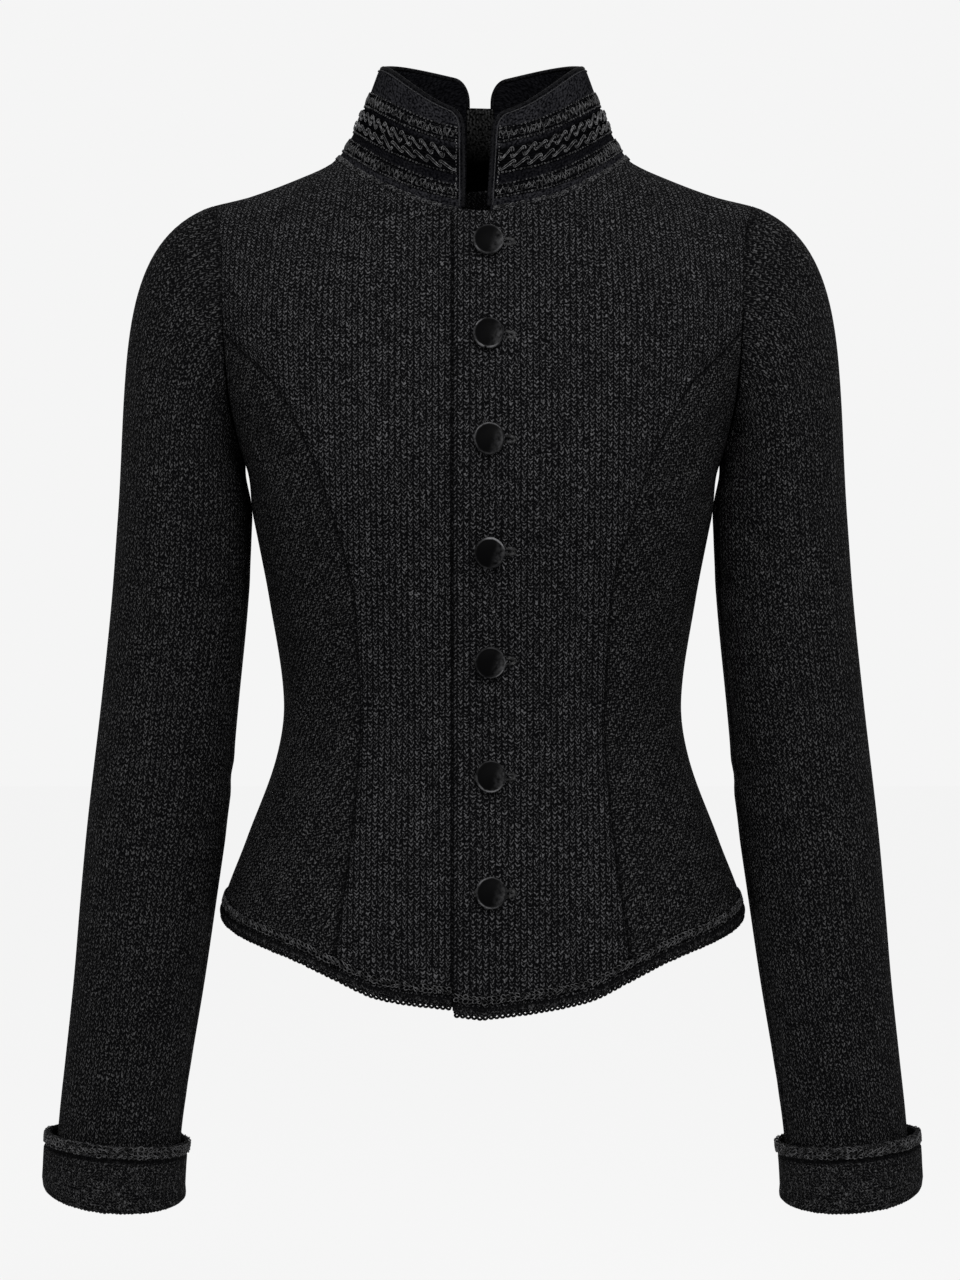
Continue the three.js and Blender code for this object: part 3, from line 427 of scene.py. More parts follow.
def fromHalf(tree, value):
    return calc(tree, "ABSOLUTE", calc(tree, "SUBTRACT", value, 0.5))


def smoothBetween(tree, value, low, high, least=0.0):
    # from the least value up to 1, the node's own form of smoothStep
    node = tree.nodes.new("ShaderNodeMapRange")
    node.interpolation_type = "SMOOTHSTEP"
    node.inputs["From Min"].default_value = low
    node.inputs["From Max"].default_value = high
    node.inputs["To Min"].default_value = least
    tree.links.new(value, node.inputs["Value"])
    return node.outputs[0]


def chanceOf(tree, kind, label, value):
    # a random number for each whole number or pair of them
    node = tree.nodes.new("ShaderNodeTexWhiteNoise")
    node.noise_dimensions = kind
    tree.links.new(value, node.inputs[label])
    return node.outputs["Value"]


def knitGroup():
    # columns of V stitches: each leg slants up from the middle of its column, and each column is
    # shifted by its own chance and bent by noise, so that no two stitches are alike and no rows show.
    # Puts out the leg's height from 0 to 1 and a tone for each leg.
    tree, given, made = newGroup("knitStitches", [
        ("Vector", "NodeSocketVector", None), ("Wale", "NodeSocketFloat", 0.00384),
        ("Course", "NodeSocketFloat", 0.0029), ("Slant", "NodeSocketFloat", 0.95),
        ("Ragged", "NodeSocketFloat", 0.0023), ("Curl", "NodeSocketFloat", 0.34)],
        [("Strand", "NodeSocketFloat"), ("Tone", "NodeSocketFloat")])
    link = tree.links.new
    vector = given.outputs["Vector"]
    wander = parts(tree, "Color", noise(tree, vector, 330, 1.0, True))
    sway = parts(tree, "Color", noise(tree, vector, 70, 2.0, True))
    xyz = parts(tree, "XYZ", vector)
    uneven = noise(tree, vector, 9, 1.0)
    ragged = calc(tree, "MULTIPLY", given.outputs["Ragged"], calc(tree, "MULTIPLY_ADD", uneven, 0.8, 0.6))
    x = calc(tree, "MULTIPLY_ADD", calc(tree, "SUBTRACT", wander[0], 0.5), ragged, xyz[0])
    y = calc(tree, "MULTIPLY_ADD", calc(tree, "SUBTRACT", wander[1], 0.5),
             calc(tree, "MULTIPLY", ragged, 1.5), xyz[1])
    y = calc(tree, "MULTIPLY_ADD", calc(tree, "SUBTRACT", sway[1], 0.5), 0.006, y)
    column = calc(tree, "DIVIDE", x, given.outputs["Wale"])
    laneChance = chanceOf(tree, "1D", "W", calc(tree, "FLOOR", column))
    fromMiddle = calc(tree, "MULTIPLY", fromHalf(tree, calc(tree, "FRACT", column)), 2)
    lean = calc(tree, "MULTIPLY_ADD", sway[2], -1.6, -0.15)
    row = calc(tree, "MULTIPLY_ADD", fromMiddle, calc(tree, "MULTIPLY", given.outputs["Slant"], lean),
               calc(tree, "DIVIDE", y, given.outputs["Course"]))
    row = calc(tree, "ADD", row, laneChance)
    acrossLeg = calc(tree, "SUBTRACT", 1,
                     calc(tree, "MULTIPLY", fromHalf(tree, calc(tree, "FRACT", row)), 2.0))
    strand = calc(tree, "MULTIPLY", acrossLeg, smoothBetween(tree, fromMiddle, 0.98, 0.58, 0.3))
    # curls of wool lie along the lines where a noise passes its middle value
    curl = fromHalf(tree, noise(tree, vector, 540, 1.0))
    curl = calc(tree, "MAXIMUM", calc(tree, "MULTIPLY_ADD", curl, -11, 1.15), 0)
    less = calc(tree, "SUBTRACT", 1, given.outputs["Curl"])
    strand = calc(tree, "MULTIPLY_ADD", curl, given.outputs["Curl"], calc(tree, "MULTIPLY", strand, less))
    link(strand, made.inputs["Strand"])
    leg = tree.nodes.new("ShaderNodeCombineXYZ")
    link(calc(tree, "FLOOR", calc(tree, "MULTIPLY", column, 2)), leg.inputs[0])
    link(calc(tree, "FLOOR", row), leg.inputs[1])
    odd = calc(tree, "POWER", chanceOf(tree, "2D", "Vector", leg.outputs[0]), 1.4)
    drift = noise(tree, vector, 45, 1.0)
    tone = calc(tree, "MULTIPLY_ADD", odd, 0.85, calc(tree, "MULTIPLY_ADD", drift, 0.2, 0.42))
    link(tone, made.inputs["Tone"])
    return tree


def fibreGroup():
    # fine noise for the hairs of wool, as a height and a tone
    tree, given, made = newGroup("woolFibre", [
        ("Vector", "NodeSocketVector", None), ("Scale", "NodeSocketFloat", 1800.0)],
        [("Fibre", "NodeSocketFloat"), ("Patch", "NodeSocketFloat")])
    fine = tree.nodes.new("ShaderNodeTexNoise")
    fine.inputs["Detail"].default_value = 4
    tree.links.new(given.outputs["Vector"], fine.inputs["Vector"])
    tree.links.new(given.outputs["Scale"], fine.inputs["Scale"])
    tree.links.new(fine.outputs["Fac"], made.inputs["Fibre"])
    tree.links.new(noise(tree, given.outputs["Vector"], 60, 3.0), made.inputs["Patch"])
    return tree


groups = {"knit": knitGroup(), "fibre": fibreGroup()}


def startMaterial(name, roughness, specular):
    material = bpy.data.materials.new(name)
    material.use_nodes = True
    tree = material.node_tree
    shader = tree.nodes["Principled BSDF"]
    shader.inputs["Roughness"].default_value = roughness
    shader.inputs["Specular IOR Level"].default_value = specular
    return material, tree, shader


def useGroup(tree, group, **values):
    node = tree.nodes.new("ShaderNodeGroup")
    node.node_tree = groups[group]
    for label, value in values.items():
        node.inputs[label].default_value = value
    return node


def mixColours(tree, share, low, high):
    node = tree.nodes.new("ShaderNodeMix")
    node.data_type = "RGBA"
    tree.links.new(share, node.inputs[0])
    node.inputs[6].default_value = (*low, 1)
    node.inputs[7].default_value = (*high, 1)
    return node.outputs[2]


def bump(tree, shader, height, distance):
    node = tree.nodes.new("ShaderNodeBump")
    node.inputs["Distance"].default_value = distance
    tree.links.new(height, node.inputs["Height"])
    tree.links.new(node.outputs[0], shader.inputs["Normal"])


def surfaceVector(tree, turned=0.0):
    # the piece's own UV, in metres, turned about its origin
    place = tree.nodes.new("ShaderNodeUVMap")
    place.uv_map = "UVMap"
    turn = tree.nodes.new("ShaderNodeMapping")
    turn.inputs["Rotation"].default_value = (0, 0, turned)
    tree.links.new(place.outputs[0], turn.inputs[0])
    return turn.outputs[0]


def shadeOf(tree):
    # the piece's own attribute of painted shade, 0 in the open and 1 deep in a seam or on an inside; on the
    # buttons it holds a painted sheen instead
    node = tree.nodes.new("ShaderNodeAttribute")
    node.attribute_name = "shade"
    return node.outputs["Fac"]


gapColour = (0.0012, 0.0012, 0.0014)  # between the stitches


def knitMaterial(name, strand, turned=0.0, wale=0.00384, course=0.0029, curl=0.34):
    # stitches darkened by painted shade where the attribute is
    material, tree, shader = startMaterial(name, 0.9, 0.015)
    vector = surfaceVector(tree, turned)
    knit = useGroup(tree, "knit", Wale=wale, Course=course, Curl=curl)
    fibre = useGroup(tree, "fibre")
    tree.links.new(vector, knit.inputs["Vector"])
    tree.links.new(vector, fibre.inputs["Vector"])
    edge = smoothBetween(tree, knit.outputs["Strand"], 0.46, 0.9)
    shade = calc(tree, "MULTIPLY", edge, knit.outputs["Tone"])
    shade = calc(tree, "MULTIPLY", shade, calc(tree, "MULTIPLY_ADD", fibre.outputs["Fibre"], 1.6, 0.2))
    shade = calc(tree, "MULTIPLY", shade, calc(tree, "MULTIPLY_ADD", shadeOf(tree), -0.92, 1.0))
    tree.links.new(mixColours(tree, shade, gapColour, strand), shader.inputs["Base Color"])
    height = calc(tree, "MULTIPLY_ADD", fibre.outputs["Fibre"], 0.25, knit.outputs["Strand"])
    bump(tree, shader, height, 0.0007)
    return material


def feltMaterial(name, low, high, scale, roughness, specular):
    # light hairs over a dark cloth, darkened by painted shade where the attribute is
    material, tree, shader = startMaterial(name, roughness, specular)
    vector = surfaceVector(tree)
    fibre = useGroup(tree, "fibre", Scale=scale)
    tree.links.new(vector, fibre.inputs["Vector"])
    spots = calc(tree, "MAXIMUM", calc(tree, "MULTIPLY_ADD", fibre.outputs["Fibre"], 5.0, -2.0), 0.0)
    shade = calc(tree, "MULTIPLY", spots, calc(tree, "MULTIPLY_ADD", fibre.outputs["Patch"], 1.6, 0.2))
    shade = calc(tree, "MULTIPLY", shade, calc(tree, "MULTIPLY_ADD", shadeOf(tree), -0.9, 1.0))
    tree.links.new(mixColours(tree, shade, low, high), shader.inputs["Base Color"])
    bump(tree, shader, fibre.outputs["Fibre"], 0.00015)
    return material


def velvetMaterial(name, low, high, scale, roughness, specular):
    # dark pile with a painted sheen where the attribute is, broken up by noise
    material, tree, shader = startMaterial(name, roughness, specular)
    vector = surfaceVector(tree)
    marbled = calc(tree, "MULTIPLY_ADD", noise(tree, vector, scale, 3.0), 3.2, -1.0)
    shade = calc(tree, "MULTIPLY", shadeOf(tree), calc(tree, "MAXIMUM", marbled, 0.0))
    tree.links.new(mixColours(tree, shade, low, high), shader.inputs["Base Color"])
    bump(tree, shader, noise(tree, vector, 1500, 2.0), 0.0001)
    return material


def cordMaterial(name, low, high, least):
    # two twisted threads: stripes that run round the cord as they go along it, with glints in places and
    # the least light between them
    material, tree, shader = startMaterial(name, 0.45, 0.08)
    vector = surfaceVector(tree)
    xyz = parts(tree, "XYZ", vector)
    twist = calc(tree, "MULTIPLY_ADD", xyz[1], 900, calc(tree, "MULTIPLY", xyz[0], 200))
    stripe = calc(tree, "ABSOLUTE", calc(tree, "SINE", calc(tree, "MULTIPLY", twist, math.pi)))
    fibre = useGroup(tree, "fibre", Scale=2500.0)
    tree.links.new(vector, fibre.inputs["Vector"])
    shade = calc(tree, "MULTIPLY", stripe, calc(tree, "MULTIPLY_ADD", fibre.outputs["Fibre"], 1.2, 0.3))
    space = tree.nodes.new("ShaderNodeTexCoord").outputs["Object"]
    glint = calc(tree, "MULTIPLY_ADD", noise(tree, space, 380, 2.0), 5.5, -2.2)
    shade = calc(tree, "MULTIPLY", shade, calc(tree, "MINIMUM", calc(tree, "MAXIMUM", glint, least), 1.5))
    tree.links.new(mixColours(tree, shade, low, high), shader.inputs["Base Color"])
    bump(tree, shader, stripe, 0.0001)
    return material


knitBody = knitMaterial("knittedWool", (0.055, 0.055, 0.0573))
# the side panels and the sleeves get darker strands than the front and back: painted shade for the parts that
# face away from the light
knitSideShaded = knitMaterial("knittedWoolSlantingShaded", (0.047, 0.047, 0.048), turned=0.62)
knitSleeveShaded = knitMaterial("knittedWoolSleeveShaded", (0.0425, 0.0425, 0.0435), wale=0.0036, course=0.0033)
knitCuff = knitMaterial("knittedWoolCuff", (0.04, 0.04, 0.041), wale=0.0034, course=0.0032, curl=0.62)
knitFold = knitMaterial("knittedWoolFold", (0.034, 0.034, 0.035), wale=0.0034, course=0.0032, curl=0.62)
collarCloth = feltMaterial("collarFelt", (0.0006, 0.0006, 0.0009), (0.0112, 0.0112, 0.0128),
                           620.0, 0.85, 0.003)
ribCloth = feltMaterial("ribCloth", (0.0002, 0.0002, 0.0002), (0.024, 0.024, 0.024), 700.0, 0.9, 0.0)
pipingCloth = feltMaterial("pipingCloth", (0.0006, 0.0006, 0.0008), (0.0055, 0.0055, 0.0062),
                           600.0, 0.5, 0.01)
pipingHighlightLine = feltMaterial("pipingHighlightLine", (0.003, 0.003, 0.0034), (0.04, 0.04, 0.042), 600.0, 0.6, 0.01)
braidGround = feltMaterial("braidGround", (0.0002, 0.0002, 0.0003), (0.0022, 0.0022, 0.0025), 600.0, 0.9, 0.0)
braidCord = cordMaterial("braidCord", (0.003, 0.003, 0.0033), (0.115, 0.115, 0.118), 0.3)
trimCord = cordMaterial("trimCord", (0.002, 0.002, 0.0022), (0.072, 0.072, 0.074), 0.03)
thread = cordMaterial("buttonholeThread", (0.006, 0.006, 0.006), (0.04, 0.04, 0.041), 0.06)
# the buttons' velvet carries a painted sheen and their rims painted highlights, both laid on by the shade
# attribute
buttonCloth = velvetMaterial("buttonVelvet", (0.0011, 0.0011, 0.0012), (0.03, 0.03, 0.031), 380.0, 0.5, 0.01)
buttonRimHighlight = velvetMaterial("buttonRimHighlight", (0.0012, 0.0012, 0.0014), (0.085, 0.085, 0.088), 200.0, 0.5, 0.02)
print("materials made")


# Creases of the body: each a soft trough between two low ridges, from one place to another on the
# front or the back, by distance from the centre line and height
bodyCreases = [
    {"back": False, "start": (150, -168), "end": (112, -214), "depth": 1.3, "width": 9},
    {"back": False, "start": (152, -196), "end": (126, -238), "depth": 0.9, "width": 7},
    {"back": False, "start": (118, -352), "end": (84, -342), "depth": 1.0, "width": 9},
    {"back": False, "start": (121, -372), "end": (92, -377), "depth": 0.8, "width": 7},
    {"back": False, "start": (40, -92), "end": (96, -58), "depth": 0.7, "width": 12},
    {"back": True, "start": (152, -160), "end": (104, -206), "depth": 1.4, "width": 10},
    {"back": True, "start": (118, -338), "end": (38, -330), "depth": 1.3, "width": 10},
    {"back": True, "start": (110, -368), "end": (26, -358), "depth": 1.0, "width": 8},
    {"back": True, "start": (60, -52), "end": (118, -84), "depth": 0.9, "width": 12},
]


def creaseDepth(creases, across, up):
    # trough profile (1 - 1.2 d2) exp(-d2 / 1.4), with d2 the squared distance from the line in widths
    total = np.zeros(np.broadcast(across, up).shape)
    for crease in creases:
        (x0, z0), (x1, z1) = crease["start"], crease["end"]
        length = math.hypot(x1 - x0, z1 - z0)
        ux, uz = (x1 - x0) / length, (z1 - z0) / length
        along = ((across - x0) * ux + (up - z0) * uz) / length
        away = (-(across - x0) * uz + (up - z0) * ux - 0.05 * length * np.sin(np.pi * np.clip(along, 0, 1)))
        d2 = (away / crease["width"])**2
        fade = smoothStep(-0.15, 0.25, along) * (1 - smoothStep(0.55, 1.1, along))
        total += crease["depth"] * fade * (1 - 1.2 * d2) * np.exp(-d2 / 1.4)
    return total


seamDip = {"depth": 1.1, "width": 2.6}


def dipBeside(distance):
    return seamDip["depth"] * np.exp(-(distance / seamDip["width"])**2)


def seamShade(distance, width=1.15):
    return np.exp(-(distance / width)**2)


def openSeam(grid, edge):
    # an edge column is drawn in by half of the seam's gap
    beside = 1 if edge == 0 else -2
    grid[:, edge] += unit(grid[:, beside] - grid[:, edge]) * cloth["seamGap"] / 2


def declareSheet(piece, outer):
    # the flat piece is as wide as the longest row and as long as the longest column
    width = arcFrom(outer, 1)[:, -1].max()
    length = arcFrom(outer, 0)[-1].max()
    across = outer[1:, 1:] - outer[:-1, :-1]
    other = outer[1:, :-1] - outer[:-1, 1:]
    area = np.linalg.norm(np.cross(across, other), axis=-1).sum() / 2
    area = min(area, width * length)
    print(f"{piece.name}: cut {width:.0f} x {length:.0f} mm, {area / 100:.0f} cm2")


# the lap's topstitching: its place and width and the depth of its painted shade, and the real dip and its
# width at the lap's edge
lapStitch = {"from": 10.2, "width": 0.8, "depth": 0.6, "edgeDip": 1.1, "edgeWidth": 1.3}


def panel(name, places, seams, over, isBack, mirror, material, node):
    # outer = body + normal * (lift - crease - seam dip), inner = outer - normal * thickness
    turn, z = places[..., 0], places[..., 1]
    normal = bodyNormal(turn, z)
    outer = bodyPoint(turn, z)
    if over:
        outer = outer + normal * overLiftAt(outer[..., 0])[..., None]
    fromLeft = arcFrom(outer, 1)
    fromRight = fromLeft[:, -1:] - fromLeft
    fromTop = arcFrom(outer, 0)
    dip = np.zeros(turn.shape)
    if "left" in seams:
        dip = np.maximum(dip, dipBeside(fromLeft))
    if "right" in seams:
        dip = np.maximum(dip, dipBeside(fromRight))
    if "top" in seams:
        dip = np.maximum(dip, dipBeside(fromTop) * seams["top"][None, :])
    creases = [c for c in bodyCreases if c["back"] == isBack]
    dip = dip + creaseDepth(creases, np.abs(outer[..., 0]), outer[..., 2])
    # painted shade beside the seams
    shade = np.zeros(turn.shape)
    for edge, distance in (("left", fromLeft), ("right", fromRight), ("top", fromTop)):
        if edge in seams:
            shade = np.maximum(shade, 0.85 * seamShade(distance) * np.abs(seams[edge]))
    if not isBack and "left" not in seams:
        # the lap: painted shade along its own edge and its topstitching, or a painted shadow of that edge on
        # the front that lies under
        edge = fromLeft if over else outer[..., 0] + lapEdge(z, True) - 0.3
        shade = np.maximum(shade, seamShade(edge, 0.8 if over else 1.2))
        if over:
            stitched = seamShade(fromLeft - lapStitch["from"], lapStitch["width"])
            shade = np.maximum(shade, lapStitch["depth"] * stitched)
            dip = np.maximum(dip, lapStitch["edgeDip"] * seamShade(fromLeft, lapStitch["edgeWidth"]))
    uv = flatPlace(turn, z)
    outer = outer - normal * dip[..., None]
    for seam, edge in (("left", 0), ("right", -1)):
        if seam in seams:
            openSeam(outer, edge)
    inner = outer - normal * cloth["thickness"]
    if mirror:
        outer, inner, uv = mirrored(outer), mirrored(inner), uv * np.array([-1, 1])
    piece = shellMesh(name, outer, inner, uv, material, [node], 0.12, shade)
    declareSheet(piece, outer)
    return piece


collarEnds = {"leftFront": 5.2, "rightFront": 13.9, "leftBack": 8, "rightBack": 11.2}
frontNeckShares = np.array([0, 0.025, 0.07, 0.18, 0.34, 0.54, 0.77, 1])
backNeckShares = np.array([0, 0.3, 0.6, 0.86, 0.955, 1])


def lapEdge(z, over):
    # distance from the centre line to the front's own edge, a little nearer to it where the front laps over
    return -cloth["overReach"] + over * (1.0 - 0.0004 * (z + 47))


def halfOutline(over, rowCount=120):
    side = "left" if over else "right"
    reach = neck["halfWidth"]
    frontEnd = math.asin(collarEnds[side + "Front"] / reach)
    backEnd = math.pi - math.asin(collarEnds[side + "Back"] / reach)
    neckStart = math.asin(lapEdge(-47, over) / reach)
    frontAngles = frontEnd + (quarterTurn - frontEnd) * frontNeckShares
    backAngles = (quarterTurn + (backEnd - quarterTurn) * backNeckShares)[::-1]
    along = np.linspace(0, 1, rowCount)**1.2
    princess, hindRow = cloth["princessRow"], cloth["backSeamRow"]
    frontLine = seamPlaces(frontSeam, armholePlace(princess, False), False, over, along)
    backLine = seamPlaces(backSeam, armholePlace(hindRow, True), True, over, along)
    start = necklinePlace(neckStart, False)
    footTurn = turnAt(lapEdge(cloth["hemSide"], over), cloth["hemSide"])
    z = start[1] + (hemHeight(footTurn, over) - start[1]) * along
    centre = np.stack([turnAt(lapEdge(z, over), z), z], -1)
    sideZ = -200 + (cloth["hemSide"] + 200) * along
    sideLine = np.stack([np.ones(rowCount), sideZ], -1)

    def frontTop(s):
        neckPart = np.interp(s, np.arange(9), np.concatenate([[neckStart], frontAngles]))
        places = necklinePlace(neckPart, False)
        shoulder = shoulderPlace((s - 8) / 3, False)
        arm = armholePlace(np.clip(s - 11, 0, 9), False)
        s = s[:, None]
        return np.where(s <= 8, places, np.where(s <= 11, shoulder, arm))

    def backTop(s):
        places = necklinePlace(np.interp(s, np.arange(6), backAngles), True)
        shoulder = shoulderPlace((s - 5) / 3, True)
        arm = armholePlace(np.clip(s - 8, 0, 9), True)
        s = s[:, None]
        return np.where(s <= 5, places, np.where(s <= 8, shoulder, arm))

    return {"frontTop": frontTop, "backTop": backTop, "front": frontLine, "back": backLine, "centre": centre,
            "side": sideLine, "frontAngles": frontAngles, "backAngles": backAngles[::-1]}


def hemPlaces(startTurn, endTurn, u, over):
    turn = startTurn + (endTurn - startTurn) * u
    return np.stack([turn, hemHeight(turn, over)], -1)


outlines = {"left": halfOutline(True), "right": halfOutline(False)}


def bodyPanels():
    for side in ("left", "right"):
        over = side == "left"
        mirror = not over
        outline = outlines[side]
        label = side.capitalize()
        s = stepsWithin([22, 2, 2, 3, 4, 5, 5, 6, 5, 5, 5, 4, 4, 5, 8])
        u = s / 15
        top = outline["frontTop"](s)
        bottom = hemPlaces(outline["centre"][-1, 0], outline["front"][-1, 0], u, over)
        places = relaxed(patch(top, bottom, outline["centre"], outline["front"], u))
        seamTop = smoothStep(7.9, 8.1, s) * 0.6 - smoothStep(10.2, 11.1, s) * 0.4
        panel("front" + label, places, {"right": 1, "top": seamTop}, over, False, mirror,
              knitBody, "front_" + side)
        s = stepsWithin([9, 8, 8, 8, 9])
        u = s / 5
        bottom = hemPlaces(outline["front"][-1, 0], 1, u, over)
        places = patch(armholePlace(4 + s, False), bottom, outline["front"], outline["side"], u)
        panel("sideFront" + label, places, {"left": 1, "right": 1, "top": 0.3 + 0 * s}, False, False,
              mirror, knitSideShaded, "side_front_" + side)
        s = stepsWithin([9, 7, 7, 7, 7, 8])
        u = s / 6
        bottom = hemPlaces(outline["back"][-1, 0], 1, u, False)
        places = patch(armholePlace(3 + s, True), bottom, outline["back"], outline["side"], u)
        panel("sideBack" + label, places, {"left": 1, "right": 1, "top": 0.3 + 0 * s}, False, True,
              mirror, knitSideShaded, "side_back_" + side)

    def mirrorPlaces(places):
        return np.stack([4 - places[..., 0], places[..., 1]], -1)
    s = stepsWithin([5, 4, 4, 5, 5, 5, 3, 4, 4, 5, 5])
    leftTop = outlines["left"]["backTop"](11 - s)
    rightTop = mirrorPlaces(outlines["right"]["backTop"](11 - s))[::-1]
    between = np.linspace(0, 1, 5)[1:-1, None]
    middle = leftTop[-1] * (1 - between) + rightTop[0] * between
    top = np.concatenate([leftTop, middle, rightTop])
    u = np.concatenate([s, 11 + between[:, 0], 12 + (11 - s[::-1])]) / 23
    left = outlines["left"]["back"]
    right = mirrorPlaces(outlines["right"]["back"])
    turn = left[-1, 0] + (right[-1, 0] - left[-1, 0]) * u
    folded = np.where(turn > 2, 4 - turn, turn)
    bottom = np.stack([turn, hemHeight(folded, False)], -1)
    places = relaxed(patch(top, bottom, left, right, u))
    awayFromNeck = np.minimum(s, 11)
    half = 0.6 * smoothStep(2.6, 3.4, awayFromNeck) * (1 - smoothStep(5.9, 6.1, awayFromNeck))
    half = half + 0.2 * (awayFromNeck < 3)
    seamTop = np.concatenate([half, np.zeros(3), half[::-1]])
    panel("backPanel", places, {"left": 1, "right": 1, "top": seamTop}, False, True, False,
          knitBody, "back")


bodyPanels()
print("body panels made")


# Sleeves
sleeveCut = {
    "z": [-234, -285, -349, -425, -476, -527, -577, -616, -662],
    "outer": [233.3, 237.1, 243.5, 251.9, 256.3, 260.1, 264.9, 268.7, 271.5],
    "inner": [147.4, 149.8, 155.8, 162.8, 169.6, 177, 185.4, 190.9, 194.5],
    "middle": [0, 0, -1.5, -5.5, -9, -12.5, -16, -19, -22],
    "halfDepth": [53, 51.5, 50, 48, 45.5, 43, 41, 39.5, 39],
    "flatRound": 292,
}
sleeveCap = {"startPull": 0.98, "endPull": 1.34, "topSlope": 19.5, "underSlope": 84, "rows": 34}
sleeveTilt = {"from": 480, "to": 616, "frontDrop": 7, "outerRise": 3.6}
cuff = {
    "bottom": -660.5, "height": 42, "shift": 1.5, "turnIn": 8, "topDrop": 5.5, "topLevel": 5.8,
    "sleeveEnd": 3.7,
    "flat": (0.266, 0.051),
}
armholeFill = {"radius": 1.5, "deep": 1.9}
sleeveSeams = {"front": 8, "back": 14, "fine": 7}

# Creases of the sleeve by angle round it, in degrees from the outside towards the front, and height
sleeveCreases = [
    {"start": (118, -236), "end": (40, -268), "depth": 1.5, "width": 9},
    {"start": (150, -262), "end": (84, -292), "depth": 1.2, "width": 8},
    {"start": (160, -398), "end": (76, -380), "depth": 1.6, "width": 8},
    {"start": (150, -426), "end": (66, -434), "depth": 1.3, "width": 9},
    {"start": (128, -452), "end": (60, -470), "depth": 0.9, "width": 7},
    {"start": (100, -560), "end": (30, -578), "depth": 0.8, "width": 8},
    {"start": (150, -590), "end": (70, -600), "depth": 1.0, "width": 7},
    {"start": (236, -250), "end": (310, -280), "depth": 1.4, "width": 9},
    {"start": (214, -404), "end": (296, -392), "depth": 1.2, "width": 9},
    {"start": (226, -440), "end": (300, -452), "depth": 1.0, "width": 8},
    {"start": (230, -588), "end": (310, -600), "depth": 0.9, "width": 7},
]


def sleevePoint(z, angle):
    # an ellipse round the sleeve's middle, tilted towards the wrist
    z, angle = np.broadcast_arrays(np.asarray(z, float), np.asarray(angle, float))
    outer = readTable(sleeveCut, "z", "outer", z)
    inner = readTable(sleeveCut, "z", "inner", z)
    tilt = smoothStep(sleeveTilt["from"], sleeveTilt["to"], -z)
    x = (outer + inner) / 2 + (outer - inner) / 2 * np.cos(angle)
    y = readTable(sleeveCut, "z", "middle", z) - readTable(sleeveCut, "z", "halfDepth", z) * np.sin(angle)
    lift = tilt * (sleeveTilt["outerRise"] * np.cos(angle) - sleeveTilt["frontDrop"] * np.sin(angle))
    return np.stack([x, y, z + lift], -1)


def sewnEdge(point, normal, along, centre, heading):
    # the wall turns about the seam by the angle between its heading and the surface it is sewn to
    into = centre - point
    into = into - normal * (into * normal).sum(-1, keepdims=True)
    into = unit(into - along * (into * along).sum(-1, keepdims=True))
    flat = heading - along * (heading * along).sum(-1, keepdims=True)
    angle = np.clip(np.arctan2((flat * normal).sum(-1), (flat * into).sum(-1)), 0, np.pi)[..., None]
    outer = point + cloth["seamGap"] * (into * np.cos(angle / 2) + normal * np.sin(angle / 2))
    inner = outer + cloth["thickness"] * (into * np.sin(angle) - normal * np.cos(angle))
    return outer, inner


def sleeveGrid():
    # each line runs as a cubic from the armhole to the top of the arm's ellipse, then down its sections
    fine = sleeveSeams["fine"]
    t = np.arange(9 * fine) / fine
    places = np.concatenate([armholePlace(t, False), armholePlace(9 - t, True)])
    normal = bodyNormal(places[:, 0], places[:, 1])
    points = bodyPoint(places[:, 0], places[:, 1])
    steps = np.linalg.norm(np.roll(points, -1, 0) - points, axis=1)
    half = 9 * fine
    frontAngle = np.pi * np.concatenate([[0], np.cumsum(steps[:half - 1])]) / steps[:half].sum()
    backAngle = np.pi + np.pi * np.concatenate([[0], np.cumsum(steps[half:-1])]) / steps[half:].sum()
    angles = np.concatenate([frontAngle, backAngle])
    along = unit(np.roll(points, -2, 0) - np.roll(points, 2, 0))
    down = (1 - np.cos(angles)) / 2
    slope = np.radians(sleeveCap["topSlope"] + (sleeveCap["underSlope"] - sleeveCap["topSlope"]) * down**1.5)
    heading = np.stack([np.cos(slope), np.zeros_like(slope), -np.sin(slope)], -1)
    first, firstInner = sewnEdge(points, normal, along, np.array(cloth["armholeCentre"]), heading)
    capFoot = sleeveCut["z"][0]
    foot = sleevePoint(capFoot, angles)
    downward = unit(sleevePoint(capFoot - 4, angles) - foot)
    reach = np.linalg.norm(first - foot, axis=1)[None, :, None]
    s = (np.arange(sleeveCap["rows"]) / sleeveCap["rows"])[:, None, None]
    cap = ((2 * s**3 - 3 * s**2 + 1) * first + (3 * s**2 - 2 * s**3) * foot
           + (s**3 - 2 * s**2 + s) * heading * reach * sleeveCap["startPull"]
           + (s**3 - s**2) * downward * reach * sleeveCap["endPull"])
    z = np.linspace(capFoot, cuff["bottom"] + cuff["sleeveEnd"], 100)[:, None]
    arm = sleevePoint(z, angles[None])
    outer = np.concatenate([cap, arm])
    around = np.roll(outer, -1, 1) - np.roll(outer, 1, 1)
    normals = unit(np.cross(around, np.gradient(outer, axis=0)))
    crease = creaseDepth(sleeveCreases, np.degrees(angles)[None] * 0.85, outer[..., 2])
    fromTop = arcFrom(outer, 0)
    crease = crease * smoothStep(0, 30, fromTop) * smoothStep(0, 16, fromTop[-1:] - fromTop)
    return outer, normals, crease, angles, firstInner


